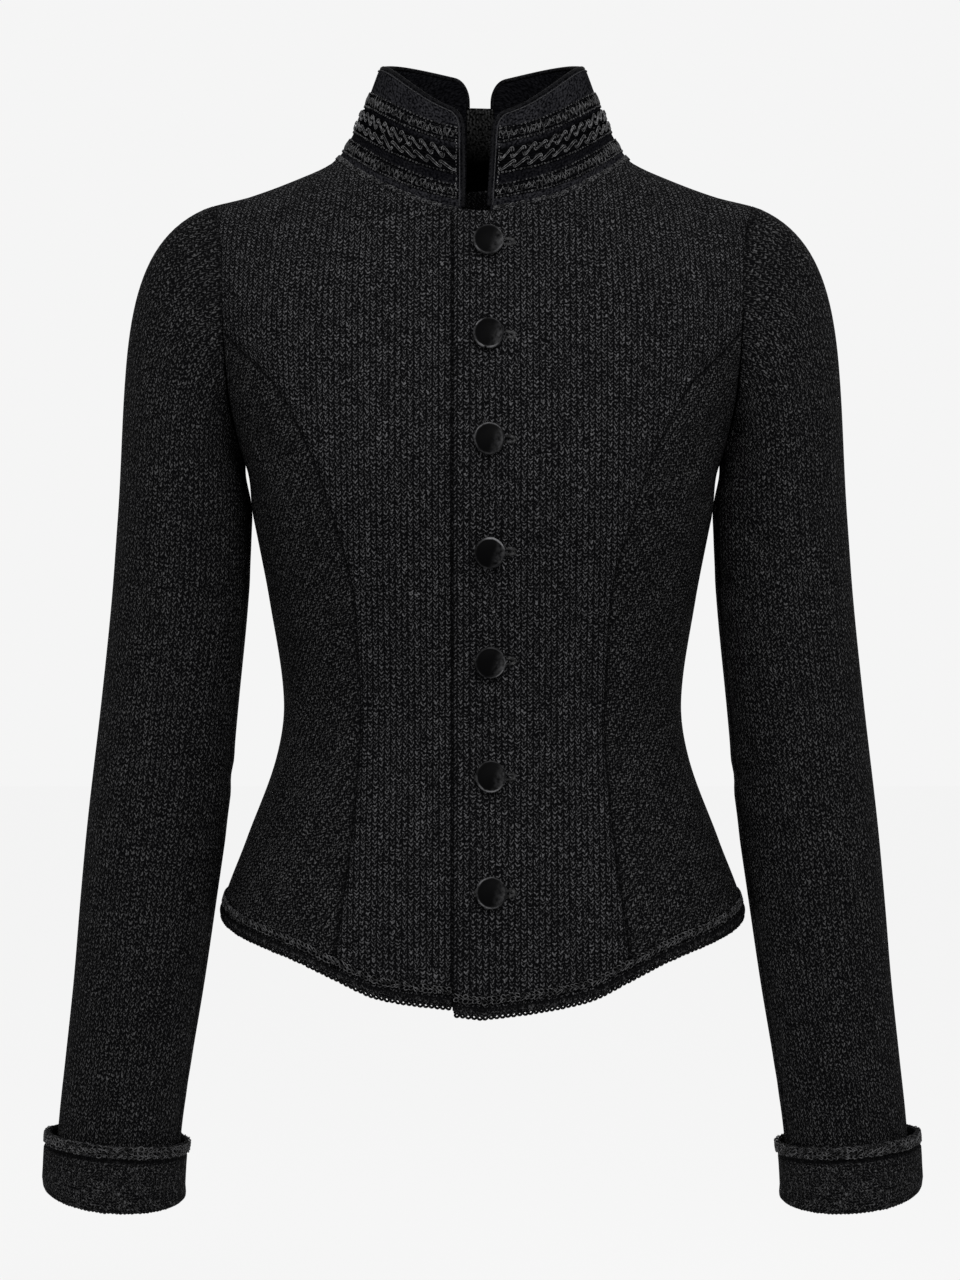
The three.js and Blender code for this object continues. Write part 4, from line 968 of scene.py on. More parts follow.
def sleeves():
    outer, normals, crease, angles, firstInner = sleeveGrid()
    fine = sleeveSeams["fine"]
    count = len(angles)
    downArc = arcFrom(outer, 0)

    def cutPiece(name, first, last, node, side):
        pick = np.arange(first, last + 1)
        line = pick % count
        skin = outer[:, line]
        out = normals[:, line]
        across = arcFrom(skin, 1)
        dip = np.maximum(dipBeside(across), dipBeside(across[:, -1:] - across))
        dip = np.maximum(dip, 0.2 * dipBeside(downArc[:, line]))
        turned = (angles[line] / (2 * np.pi) + pick // count) * sleeveCut["flatRound"]
        uv = np.stack([turned + 0 * dip, downArc[-1:, line] - downArc[:, line]], -1)
        # painted shade beside the side seams and, fainter, along the armhole
        shade = np.maximum(seamShade(across), seamShade(across[:, -1:] - across)) * 0.8
        shade = np.maximum(shade, 0.45 * seamShade(downArc[:, line]))
        top = skin - out * (dip + crease[:, line])[..., None]
        inside = top - out * cloth["thickness"]
        ease = smoothStep(0, 8, downArc[:, line])[..., None]
        inside = inside * ease + (firstInner[line][None] + top - skin) * (1 - ease) * np.ones_like(ease)
        inside[1:] = np.where(ease[1:] < 1, top[1:] - out[1:] * cloth["thickness"], inside[1:])
        for grid in (top, inside):
            openSeam(grid, 0)
            openSeam(grid, -1)
        if side == "right":
            uv = uv * np.array([-1, 1])
        piece = shellMesh(name, worn(top, side), worn(inside, side), uv, knitSleeveShaded,
                          [node], 0.12, shade)
        declareSheet(piece, top)

    # the seam's turnings fill the join between the sleeve and the body
    t = np.arange(count) / fine
    frontPlaces = armholePlace(np.minimum(t, 9), False)
    backPlaces = armholePlace(np.minimum(18 - t, 9), True)
    places = np.where((t <= 9)[:, None], frontPlaces, backPlaces)
    outward = bodyNormal(places[:, 0], places[:, 1])
    seamLine = bodyPoint(places[:, 0], places[:, 1]) - outward * armholeFill["deep"]
    frontSeamAt, backSeamAt = sleeveSeams["front"] * fine, sleeveSeams["back"] * fine
    for side in ("left", "right"):
        label = side.capitalize()
        tubes("armholeSeam" + label, worn(seamLine, side)[None], worn(outward, side)[None],
              armholeFill["radius"], knitSleeveShaded, 8, True)
        cutPiece("topSleeve" + label, backSeamAt, count + frontSeamAt, "top_sleeve_" + side,
                 side)
        cutPiece("underSleeve" + label, frontSeamAt, backSeamAt, "under_sleeve_" + side,
                 side)


sleeves()
print("sleeves made")


# A strip's map: lines along it at given heights across it, read by distance along and height across.
# Its outward side is 1 or -1, as its lines run.
def stripMap(lines, heights, outward, closed=False):
    heights = np.asarray(heights, float)
    lengths = pathLengths(lines[len(lines) // 2])

    def place(s, h):
        s, h = np.broadcast_arrays(np.asarray(s, float), np.asarray(h, float))
        if closed:
            s = np.mod(s, lengths[-1])
        f = np.interp(h, heights, np.arange(len(heights)))
        low = np.clip(np.floor(f).astype(int), 0, len(heights) - 2)
        w = f - low
        index = np.interp(s, lengths, np.arange(len(lengths)))
        before = np.clip(np.floor(index).astype(int), 0, len(lengths) - 2)
        t = (index - before)[..., None]
        w = w[..., None]
        near = lines[low, before] * (1 - t) + lines[low, before + 1] * t
        far = lines[low + 1, before] * (1 - t) + lines[low + 1, before + 1] * t
        point = near * (1 - w) + far * w
        step = (far - near) / (heights[low + 1] - heights[low])[..., None]
        beyond = h - np.clip(h, heights[0], heights[-1])
        return point + step * beyond[..., None]

    def normalAt(s, h):
        d = 0.6
        across = np.cross(place(s + d, h) - place(s - d, h), place(s, h + d) - place(s, h - d))
        return unit(across) * outward

    return {"place": place, "normal": normalAt, "length": lengths[-1]}


def laidCords(name, strip, s, h, lift, radius, material, closed=False, sides=4):
    # cords whose middle lines are given by distance along, height across and lift off a strip
    normal = strip["normal"](s, h)
    paths = strip["place"](s, h) + normal * np.asarray(lift)[..., None]
    return tubes(name, paths, normal, radius, material, sides, closed)


def loopRow(start, end, pitch, halfLength, halfHeight, middle, lean=0.0, points=12, chance=0.12):
    # centres every pitch along the row, each with an ellipse round it that leans by the lean
    count = max(int(round((end - start) / pitch)), 2)
    centre = (start + (np.arange(count) + 0.5) * (end - start) / count)[:, None]
    phase = 2 * np.pi * np.arange(points)[None] / points
    wobble = 1 + chance * rng.standard_normal((count, 1))
    h = middle + halfHeight * wobble * np.sin(phase) + halfHeight * chance * rng.standard_normal((count, 1))
    lean = lean + 2 * chance * rng.standard_normal((count, 1))
    s = centre + halfLength * wobble * np.cos(phase) + lean * halfHeight * np.sin(phase)
    return s, h, phase


# Cuffs
cuffProfile = {
    "out": [-3, 0, 3.2, 4.9, 6.1, 6.6, 6.7, 6.6, 6.6, 6.6, 6.6, 6.6, 6.6,
            6.5, 6.1, 5.4, 4.6, 4, 3.7, 3.6, 3.6, 3.4, 2.8, 0, -3],
    "up": [0.5, 0, 0, 0.4, 1.6, 3.6, 9, 16, 24, 30, 31.6, 33.2, 34.6,
           38.5, 40.9, 41.9, 41.9, 41.2, 40, 30, 8, 5, 3.4, 3.3, 3.3],
}
cuffTrim = {
    "pitch": 3.2, "halfLength": 1.35, "cord": 0.36,
    # height, half height, lean and lift of each row
    "rows": ((40.1, 1.2, 0.5, 0.6), (37.7, 1.25, -0.5, 0.7), (35.4, 1.1, 0.4, 0.6)),
    "picotPitch": 2.7, "picotHalf": (1.1, 0.9), "picotHeight": 0.5, "picotLift": -1.9, "picotCord": 0.55,
}


def cuffPoint(up, out, angle):
    # out from the sleeve along the ellipse's normal, with the cuff shifted outwards
    z = cuff["bottom"] + up
    width = sleevePoint(z, 0)[..., 0] - sleevePoint(z, np.pi)[..., 0]
    depth = 2 * readTable(sleeveCut, "z", "halfDepth", z)
    away = unit(np.stack([np.cos(angle) * depth, -np.sin(angle) * width, np.zeros_like(angle * width)], -1))
    point = sleevePoint(z, angle) + away * np.asarray(out)[..., None]
    point[..., 0] += cuff["shift"] * smoothStep(0, cuff["turnIn"], up)
    point[..., 2] -= up / cuff["height"] * (cuff["topDrop"] - cuff["topLevel"] * np.sin(angle))
    return point


def cuffs():
    closedAngle = 2 * np.pi * np.arange(361) / 360
    angle = closedAngle[:-1]
    out = np.array(cuffProfile["out"], float)[:, None]
    up = np.array(cuffProfile["up"], float)[:, None]
    band = smoothStep(30.4, 31.6, up) * (out > 5) * (1 - smoothStep(33.1, 34.5, up))
    wave = 0.35 * np.sin(3 * angle + 0.7) + 0.25 * np.sin(5 * angle + 2.1)
    swell = smoothStep(6, 30, up) * wave[None] * (out > 5)
    ring = cuffPoint(up + 0 * angle[None], out + swell - 0.8 * band, angle[None] + 0 * up)
    rows, columns = ring.shape[:2]
    faces = gridFaces(rows, columns, closed=True)
    last = gridFaces(2, columns, closed=True)
    last = np.where(last >= columns, last - columns, last + (rows - 1) * columns)
    faces = np.concatenate([faces, last])
    arc = arcFrom(np.concatenate([ring, ring[:, :1]], 1), 1)[:, :-1]
    upArc = arcFrom(ring, 0)
    uv = np.stack([arc, upArc], -1).reshape(-1, 2)
    # painted shade in the groove under the trim, and on the rows that lie inwards of 4.2 mm: the turned-in
    # foot and the inside
    shade = np.maximum(0.95 * band, 0.75 * (out < 4.2) * (up < 41)) + 0 * arc
    # lines of the outside at heights from the foot
    heights = np.array([-1.5, 0.5, 4, 20, 33, 37, 42])
    lines = np.stack([cuffPoint(h + 0 * closedAngle, 6.6 - 1.6 * smoothStep(3, -1, h) + 0 * closedAngle,
                                closedAngle) for h in heights])
    for side in ("left", "right"):
        label = side.capitalize()
        points = worn(ring.reshape(-1, 3), side)
        piece = addMesh("cuff" + label, points, faceOut(points, faces), uv, knitCuff,
                        ["cuff_" + side], shade.ravel())
        strip = stripMap(worn(lines, side), heights, -1 if side == "left" else 1, True)
        made = []
        for middle, half, lean, lift in cuffTrim["rows"]:
            s, h, phase = loopRow(0, strip["length"], cuffTrim["pitch"], cuffTrim["halfLength"], half,
                                  middle, lean, 10, 0.22)
            lifts = lift + 0.3 * np.sin(phase * 2) + 0 * s
            made.append(laidCords("cuffLoops", strip, s, h, lifts, cuffTrim["cord"], trimCord, True))
        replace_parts(join(made, "cuffBraid" + label), "cuff_braid_" + side)
        s, h, phase = loopRow(0, strip["length"], cuffTrim["picotPitch"], *cuffTrim["picotHalf"],
                              cuffTrim["picotHeight"], points=8)
        laidCords("cuffPicots" + label, strip, s, h, cuffTrim["picotLift"], cuffTrim["picotCord"],
                  trimCord, True)


cuffs()
print("cuffs made")


# Collar
collarTopEnds = {"leftFront": 8.9, "rightFront": 13.9, "leftBack": 8, "rightBack": 11.2}
collarTop = {
    "halfWidth": 66.3, "front": 60, "back": 52, "side": 53.8, "frontDrop": 37, "backRise": 6.3, "backDrop": 3,
    "frontCorner": 10, "backCorner": 11, "hollow": 2.8, "hollowPower": 0.65,
}
collarPiping = {"radius": 1.4, "gap": 0.5, "lowest": 0.06, "lineIn": 0.9, "lineRadius": 0.3}
collarInsert = {
    "topShare": 0.775, "thickness": 2.4, "lowest": -0.03, "inset": 0.3, "into": 0.75,
    "ribs": 9, "ribDepth": 0.45,
}

# The braids by share of the collar's height at its sides, and how much higher they run at the front
collarBraids = {
    "low": {"from": 0.095, "to": 0.235, "frontRise": 0.04},
    "mid": {"from": 0.315, "to": 0.565, "frontRise": 0.08},
    "top": {"from": 0.6, "to": 0.745, "frontRise": 0.115},
}
narrowTrim = {
    "ground": (6, 0.75), "cord": 0.29, "chance": 0.28, "dotPitches": (2.2, 2.7),
    "rows": ((3.4, 0.68, 0.13, 0.9), (5.3, 0.4, -0.22, 0.75)),  # pitch, share of the width, swing, lift
}
wideTrim = {
    "ground": (9, 0.9), "cord": 0.3, "apart": 0.72, "dotPitch": 2.3, "threads": 90,
    "rows": ((0.74, 5.4, 11.6, 7.8), (0.27, 4.2, 13.0, 8.8)),  # height share, height, reach, pitch
}
collarStitch = {"count": 25, "pitch": 2.15, "half": 0.45, "from": 3.1, "cord": 0.42}
neckLoops = {"pitch": 3.5, "half": (1.3, 0.75), "rows": ((0.3, 0.6), (1.9, -0.5)), "cord": 0.34}


def collarTopPoint(angle):
    # an ellipse in plan, lowered to the front by a power of the cosine
    facing = np.abs(np.cos(angle))
    isBack = angle > quarterTurn
    rise = collarTop["backRise"] * np.sin(2 * np.arccos(np.clip(facing, 0, 1)))
    rise = np.where(isBack, rise - collarTop["backDrop"] * facing**2, -collarTop["frontDrop"] * facing**2.5)
    depth = np.where(isBack, collarTop["back"], collarTop["front"])
    x = collarTop["halfWidth"] * np.sin(angle)
    return np.stack([x, -depth * np.cos(angle), collarTop["side"] + rise], -1)


def collarLines(side):
    # foot and top of the collar at many places round it, its outward direction, and its full share
    over = side == "left"
    outline = outlines[side]
    dense = np.linspace(0, 1, 150)
    ease = 0.5 - 0.5 * np.cos(np.pi * dense)
    share = 0.35 * dense + 0.65 * ease
    frontAngles, backAngles = outline["frontAngles"], outline["backAngles"]
    footAngle = np.interp(share, [0, 0.5, 1], [frontAngles[0], quarterTurn, backAngles[-1]])
    topFront = math.asin(collarTopEnds[side + "Front"] / collarTop["halfWidth"])
    topBack = math.pi - math.asin(collarTopEnds[side + "Back"] / collarTop["halfWidth"])
    topAngle = np.interp(share, [0, 0.5, 1], [topFront, quarterTurn, topBack])
    front = necklinePlace(footAngle, False)
    back = necklinePlace(footAngle, True)
    place = np.where((footAngle > quarterTurn)[:, None], back, front)
    normal = bodyNormal(place[:, 0], place[:, 1])
    foot = bodyPoint(place[:, 0], place[:, 1])
    if over:
        foot = foot + normal * overLiftAt(foot[:, 0])[:, None]
    top = collarTopPoint(topAngle)
    along = unit(np.gradient(foot, axis=0))
    heading = unit(top - foot)
    centre = np.stack([0 * share, -5 + 0 * share, foot[:, 2] + 10], -1)
    outer, inner = sewnEdge(foot, normal, along, centre, heading)
    topAlong = np.gradient(top, axis=0)
    topAlong[:, 2] = 0
    out = unit(np.cross(topAlong, heading))

    def cornerDrop(radius, end):
        near = np.minimum(np.linalg.norm(outer - end, axis=1), radius)
        return radius - np.sqrt(radius**2 - (radius - near)**2)
    drop = np.maximum(cornerDrop(collarTop["frontCorner"], foot[0]),
                      cornerDrop(collarTop["backCorner"], foot[-1]))
    full = 1 - drop / np.linalg.norm(top - outer, axis=1)
    return {"foot": outer, "footInner": inner, "top": top, "out": out, "full": full, "topAngle": topAngle}


def collarPoint(lines, pick, shares, into=0.0):
    # from foot to top by share, hollowed by a sine of a power of the share, and further in by a distance
    inward = collarTop["hollow"] * np.sin(np.pi * np.maximum(shares, 0)**collarTop["hollowPower"]) + into
    foot, top, out = lines["foot"][pick], lines["top"][pick], lines["out"][pick]
    part = shares[..., None]
    return foot * (1 - part) + top * part - out * inward[..., None]


def evenPath(path, others, count, smoothing=0):
    # a path smoothed by its neighbours' means, then read at even distances, with other rows read alike
    path = path.copy()
    for _ in range(smoothing):
        path[1:-1] = (path[:-2] + 2 * path[1:-1] + path[2:]) / 4
    lengths = pathLengths(path)
    even = np.linspace(0, lengths[-1], count)

    def read(rows):
        return np.stack([np.interp(even, lengths, rows[:, c]) for c in range(3)], -1)
    return read(path), unit(read(others))


def serpentine(start, end, pitch, height, width, swing, chance, steps=12):
    # a cord that goes up and down across a strip: height is a sine of the way, distance along has a second
    # sine that leans its loops, and each loop has its own reach
    loops = int((end - start) / pitch)
    way = np.linspace(0, 2 * np.pi * loops, loops * steps)
    turns = 2 * np.pi * np.arange(loops + 1)
    spread = np.interp(way, turns, 1 + chance * rng.standard_normal(loops + 1))
    shift = np.interp(way, turns, 0.3 * chance * width * rng.standard_normal(loops + 1))
    along = start + (end - start) * way / way[-1] + swing * pitch * np.sin(2 * way)
    return along[None], (height + width / 2 * spread * np.sin(way) + shift)[None], way[None]


def collarHalf(side):
    label = side.capitalize()
    lines = collarLines(side)
    foot, top, out, full = lines["foot"], lines["top"], lines["out"], lines["full"]
    columns = np.arange(len(full))[None]
    rows = np.linspace(0, 1, 40)[:, None]
    outer = collarPoint(lines, columns, rows * full[None])
    thickness = cloth["thickness"]
    inner = outer - out * thickness
    ease = smoothStep(0, 0.05, rows)[..., None]
    inner = lines["footInner"] * (1 - ease) + inner * ease
    # the top edge is rounded over the last rows
    roll = smoothStep(0.965, 1.0, rows)[..., None]
    outer = outer - out * roll * 0.7
    inner = inner + out * roll * 0.7
    uv = np.stack([arcFrom(outer, 1), arcFrom(outer, 0)], -1)
    # painted shade on the cloth between the low braid and the top one, and lighter painted shade at the
    # collar's foot
    level = rows * full[None] - 0.06 * np.maximum(np.cos(lines["topAngle"]), 0)[None]**4
    shade = 0.8 * smoothStep(0.19, 0.24, level) * (1 - smoothStep(0.6, 0.63, level))
    shade = np.maximum(shade, 0.35 * (1 - smoothStep(0.0, 0.1, level)))
    piece = shellMesh("collar" + label, worn(outer, side), worn(inner, side), uv, collarCloth,
                      ["collar_" + side], 0.7, shade)
    declareSheet(piece, outer)

    # piping round the front end, the top edge and the back end, with a fine cord laid beside it;
    # the cord is real, and its light colour is a painted highlight along the piping's edge
    upShares = np.linspace(collarPiping["lowest"], full[0], 24)[:-1]
    downShares = np.linspace(full[-1], collarInsert["topShare"] + 0.006, 5)[1:]
    pick = np.concatenate([np.zeros(23, int), np.arange(len(full)), np.full(4, len(full) - 1)])
    shares = np.concatenate([upShares, full, downShares])
    edge = collarPoint(lines, pick, shares, thickness / 2)
    away = unit(np.cross(unit(np.gradient(edge, axis=0)), out[pick]))
    if away[len(edge) // 2, 2] < 0:
        away = -away
    clear = collarPiping["radius"] * 0.55 + collarPiping["gap"]

    def beadAlong(name, middle, radius, material, around):
        path, sides = evenPath(middle, out[pick], 240, 3)
        return tubes(name + label, worn(path, side)[None], worn(sides, side)[None], radius, material,
                     around)
    bead = beadAlong("collarPiping", edge + away * clear, collarPiping["radius"], pipingCloth, 10)
    beside = edge - away * collarPiping["lineIn"] + out[pick] * (thickness / 2 + 0.15)
    line = beadAlong("pipingHighlightLine", beside, collarPiping["lineRadius"], pipingHighlightLine, 5)
    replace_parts(join([bead, line], "collarPiping" + label), "collar_piping_" + side)

    tall = np.linalg.norm(top - foot, axis=1).mean()

    def braidStrip(row, low=-0.12, high=1.12):
        # lines over the braid's height, measured in millimetres up from its lower edge
        rise = row["frontRise"] * np.maximum(np.cos(lines["topAngle"]), 0)**4
        t = np.linspace(low, high, 9)
        shares = row["from"] + rise[None] + (row["to"] - row["from"]) * t[:, None]
        width = (row["to"] - row["from"]) * tall
        outward = 1 if side == "left" else -1
        return stripMap(worn(collarPoint(lines, columns, shares), side), t * width, outward), width

    def ground(name, strip, width, count, radius):
        s = np.linspace(1.6, strip["length"] - 1.6, 160)[None]
        levels = np.linspace(radius * 0.7, width - radius * 0.7, count)
        return [laidCords(name, strip, s, h, 0.1, radius, braidGround, sides=5) for h in levels]

    def dots(name, strip, height, pitch):
        s, h, _ = loopRow(2.2, strip["length"] - 2.2, pitch, 0.5, 0.42, height, points=6, chance=0.25)
        return laidCords(name, strip, s, h, 0.8, 0.26, trimCord, True)

    def narrowBraid(name, row, node):
        # two cords that go up and down across a tape, at two widths, with dots along both edges
        strip, width = braidStrip(row)
        made = ground(name, strip, width, *narrowTrim["ground"])
        for pitch, share, swing, lift in narrowTrim["rows"]:
            s, h, way = serpentine(2.4, strip["length"] - 2.4, pitch, width * 0.5, width * share, swing,
                                   narrowTrim["chance"])
            lift = lift + 0.25 * np.cos(2 * way)
            made.append(laidCords(name, strip, s, h, lift, narrowTrim["cord"], trimCord))
        for share, pitch in zip((0.03, 0.97), narrowTrim["dotPitches"]):
            made.append(dots(name, strip, width * share, pitch))
        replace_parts(join(made, name), node)

    def wideBraid(name, row, node):
        # two rows of S-shaped scrolls, each a pair of cords that starts under its neighbour and ends over it
        strip, width = braidStrip(row)
        made = ground(name, strip, width, *wideTrim["ground"])
        t = np.linspace(0, 1, 22)[None]
        fromMiddle = t - 0.5
        for middle, high, reach, pitch in wideTrim["rows"]:
            room = strip["length"] - 4 - reach
            count = int(room / pitch) + 1
            centre = 2 + reach / 2 + np.arange(count)[:, None] * room / (count - 1)
            chance = 1 + 0.14 * rng.standard_normal((count, 1))
            bend = 0.86 + 0.14 * np.cos(2 * np.pi * fromMiddle)
            s = centre + reach / 2 * np.sin(np.pi * fromMiddle) * bend
            h = width * middle + high / 2 * chance * np.sin(1.86 * np.pi * fromMiddle)
            h = h + 0.35 * rng.standard_normal((count, 1))
            ahead = unit(np.stack([np.gradient(s, axis=1), np.gradient(h, axis=1)], -1))
            lift = 0.95 + 0.95 * t + 0.2 * np.sin(5 * t + centre)
            for apart in (-wideTrim["apart"], wideTrim["apart"]):
                sideways = apart * (0.8 + 0.2 * np.cos(2 * np.pi * t + middle * 9))
                made.append(laidCords(name, strip, s - ahead[..., 1] * sideways,
                                      h + ahead[..., 0] * sideways, lift, wideTrim["cord"], braidCord,
                                      sides=5))
        # short threads that show between the scrolls
        count = wideTrim["threads"]
        s = rng.uniform(3, strip["length"] - 3, (count, 1))
        h = rng.uniform(0.06, 0.94, (count, 1)) * width
        lean = rng.uniform(-1.2, 1.2, (count, 1))
        t = np.linspace(-1, 1, 5)[None]
        s = s + t * 0.9 + 0.3 * t**2
        h = np.clip(h + lean * t * 0.8, 0, width)
        made.append(laidCords(name, strip, s, h, 0.85, 0.24, trimCord))
        made.append(dots(name, strip, width * 0.02, wideTrim["dotPitch"]))
        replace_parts(join(made, name), node)

    narrowBraid("lowBraid" + label, collarBraids["low"], "collar_braid_low_" + side)
    wideBraid("wideBraid" + label, collarBraids["mid"], "collar_braid_mid_" + side)
    narrowBraid("topBraid" + label, collarBraids["top"], "collar_braid_top_" + side)

    # upright stitches beside the piping at the front end
    whole = braidStrip({"from": 0.0, "to": 1.0, "frontRise": 0.0}, 0.02, 0.95)[0]
    count = collarStitch["count"]
    stitch = np.array([[-1, 0, 1]]) * collarStitch["half"]
    up = (0.13 * tall + np.arange(count) * collarStitch["pitch"])[:, None] + stitch
    up = up + 0.25 * rng.standard_normal((count, 1))
    s = collarStitch["from"] + 0.25 * rng.standard_normal((count, 1)) + 0 * up
    laidCords("collarStitches" + label, whole, s, up, 0.55, collarStitch["cord"], braidCord, sides=5)

    # a row of knitted loops that covers the seam at the collar's foot
    seamStrip = braidStrip({"from": 0.0, "to": 0.1, "frontRise": 0.0}, -0.2, 1.0)[0]
    made = []
    for middle, lean in neckLoops["rows"]:
        s, h, phase = loopRow(0.8, seamStrip["length"] - 0.8, neckLoops["pitch"], *neckLoops["half"],
                              middle, lean, 9, 0.25)
        lift = 0.5 + 0.2 * np.sin(2 * phase) + 0 * s
        made.append(laidCords("seamLoops", seamStrip, s, h, lift, neckLoops["cord"], trimCord, True))
    join(made, "neckSeamLoops" + label)
    return lines


collars = {"left": collarHalf("left"), "right": collarHalf("right")}


def insertPiece():
    # a strip between the back ends of the collar, raised in upright ribs on both sides
    t = np.linspace(collarInsert["lowest"], collarInsert["topShare"], 40)
    u = np.linspace(0, 1, 82)[None, :, None]
    left, right = collars["left"], collars["right"]
    across = unit(mirrored(right["foot"][-1]) - left["foot"][-1])

    def layer(into):
        a = collarPoint(left, -1, t, into) + across * collarInsert["inset"]
        b = mirrored(collarPoint(right, -1, t, into)) - across * collarInsert["inset"]
        return a[:, None] * (1 - u) + b[:, None] * u
    outward = unit(left["out"][-1] + mirrored(right["out"][-1]))
    rib = np.abs(np.sin(np.pi * collarInsert["ribs"] * u))
    outer = layer(collarInsert["into"]) + outward * collarInsert["ribDepth"] * rib
    inner = layer(0.3 + collarInsert["thickness"]) - outward * collarInsert["ribDepth"] * rib * 0.8
    uv = np.stack(np.broadcast_arrays(u[..., 0] * 19, t[:, None] * 60), -1)
    # painted shade between the ribs and growing towards the foot, half as strong outside as inside
    shade = np.maximum(1 - rib[..., 0], 0.25 + smoothStep(0.8, 0.1, t)[:, None])
    piece = shellMesh("collarInsert", outer, inner, uv, ribCloth, ["collar_back_insert"],
                      0.4, 0.5 * shade, shade)
    declareSheet(piece, outer)


insertPiece()
print("collar made")


# Hem: a looped row, a plain fold and a picot edge
hemTrim = {
    "braid": (6.6, 11.7), "edge": (-0.4, 4.7), "loopPitch": 2.9, "loopHalf": (1.3, 1.2), "loopCord": 0.36,
    "loopRows": ((0.28, 0.45), (0.74, -0.45)), "groundRows": 4, "groundRadius": 0.8, "corner": 2.6,
    "picotPitch": 3.5, "picotHalf": (1.25, 1.1), "picotHeight": -1.0, "picotCord": 0.84,
}


def hemLineOf(heights):
    # places round the hem from the overlapping front's edge to where it meets the other front
    edge = lapEdge(cloth["hemSide"] - 40, True)
    startLeft = turnAt(edge, cloth["hemSide"])
    startRight = turnAt(0.3 - edge, cloth["hemSide"])
    left = np.linspace(startLeft, 2, 420)
    right = np.linspace(2, startRight, 380)[1:]
    lines = []
    for up in heights:
        zl = hemHeight(left, True) + up
        a = bodyPoint(left, zl)
        lift = np.where(left < 1, overLiftAt(a[:, 0]), 0)
        a = a + bodyNormal(left, zl) * lift[:, None]
        zr = hemHeight(right, False) + up
        b = mirrored(bodyPoint(right, zr))
        lines.append(np.concatenate([a, b]))
    return np.array(lines)


def hemPieces():
    heights = np.array([-4.0, 0, 3, 6, 9, 14])
    strip = stripMap(hemLineOf(heights), heights, 1)
    length = strip["length"]
    low, high = hemTrim["braid"]
    radius = hemTrim["groundRadius"]
    s = np.linspace(0.4, length - 0.4, 900)[None]
    made = [laidCords("hemGround", strip, s, h, 0.2, radius, braidGround, sides=5)
            for h in np.linspace(low + 0.5, high - 0.5, hemTrim["groundRows"])]
    for k, (share, lean) in enumerate(hemTrim["loopRows"]):
        s, h, phase = loopRow(0.6, length - 0.6, hemTrim["loopPitch"], *hemTrim["loopHalf"],
                              low + (high - low) * share, lean, 10, 0.16)
        lift = 0.95 + 0.3 * np.sin(2 * phase + k) + 0 * s
        made.append(laidCords("hemLoops", strip, s, h, lift, hemTrim["loopCord"], trimCord, True))
    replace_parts(join(made, "hemLoopRow"), "hem_braid")

    # the plain fold: a rounded band laid on the cloth's edge, with the over front's lower corner rounded
    low, high = hemTrim["edge"]
    t = np.linspace(0, 1, 9)[:, None]
    s = np.linspace(0, length, 900)[None]
    h = high + (low - high) * t
    h = h + smoothStep(hemTrim["corner"], 0, s) * 2.0 * (high - h) / (high - low)
    out = 0.35 + 0.95 * np.sin(np.pi * np.clip(t, 0.02, 0.98))**0.5 + 0 * s
    onCloth, normal = strip["place"](s, h), strip["normal"](s, h)
    uv = np.stack(np.broadcast_arrays(s, h), -1)
    # painted shade along the top of the fold
    shade = 0.95 * smoothStep(0.55, 0.1, t) + 0 * s
    shellMesh("hemFold", onCloth + normal * out[..., None], onCloth + normal * 0.3, uv, knitFold,
              ["hem_edge"], 0.1, shade)
    s, h, phase = loopRow(0.8, length - 0.8, hemTrim["picotPitch"], *hemTrim["picotHalf"],
                          hemTrim["picotHeight"], points=9, chance=0.06)
    laidCords("hemPicots", strip, s, h, -0.5, hemTrim["picotCord"], knitFold, True, 5)


hemPieces()
print("hem made")


# Buttons and buttonholes
buttons = {
    "heights": [-67.2, -125.4, -189.1, -255.4, -322.7, -395, -465.6], "across": (3.4, 5.2), "lift": 0.6,
    "radius": [0, 2.6, 2.6, 7.4, 8.9, 9.55, 9.65, 9.4, 8.9, 8.35, 8.1, 7.2, 5.4, 3.2, 1.2, 0],
    "up": [0, 0, 1.2, 1.2, 1.5, 2.3, 3.2, 3.95, 4.3, 4.2, 4.25, 4.7, 5.3, 5.7, 5.85, 5.88],
    "segments": 72, "rimFrom": 8.95, "rimAbove": 2.4, "narrow": 0.965, "tall": 1.02,
}
hole = {"left": -5, "right": 20, "halfHeight": 2.7, "stitches": 76, "cord": 0.34}


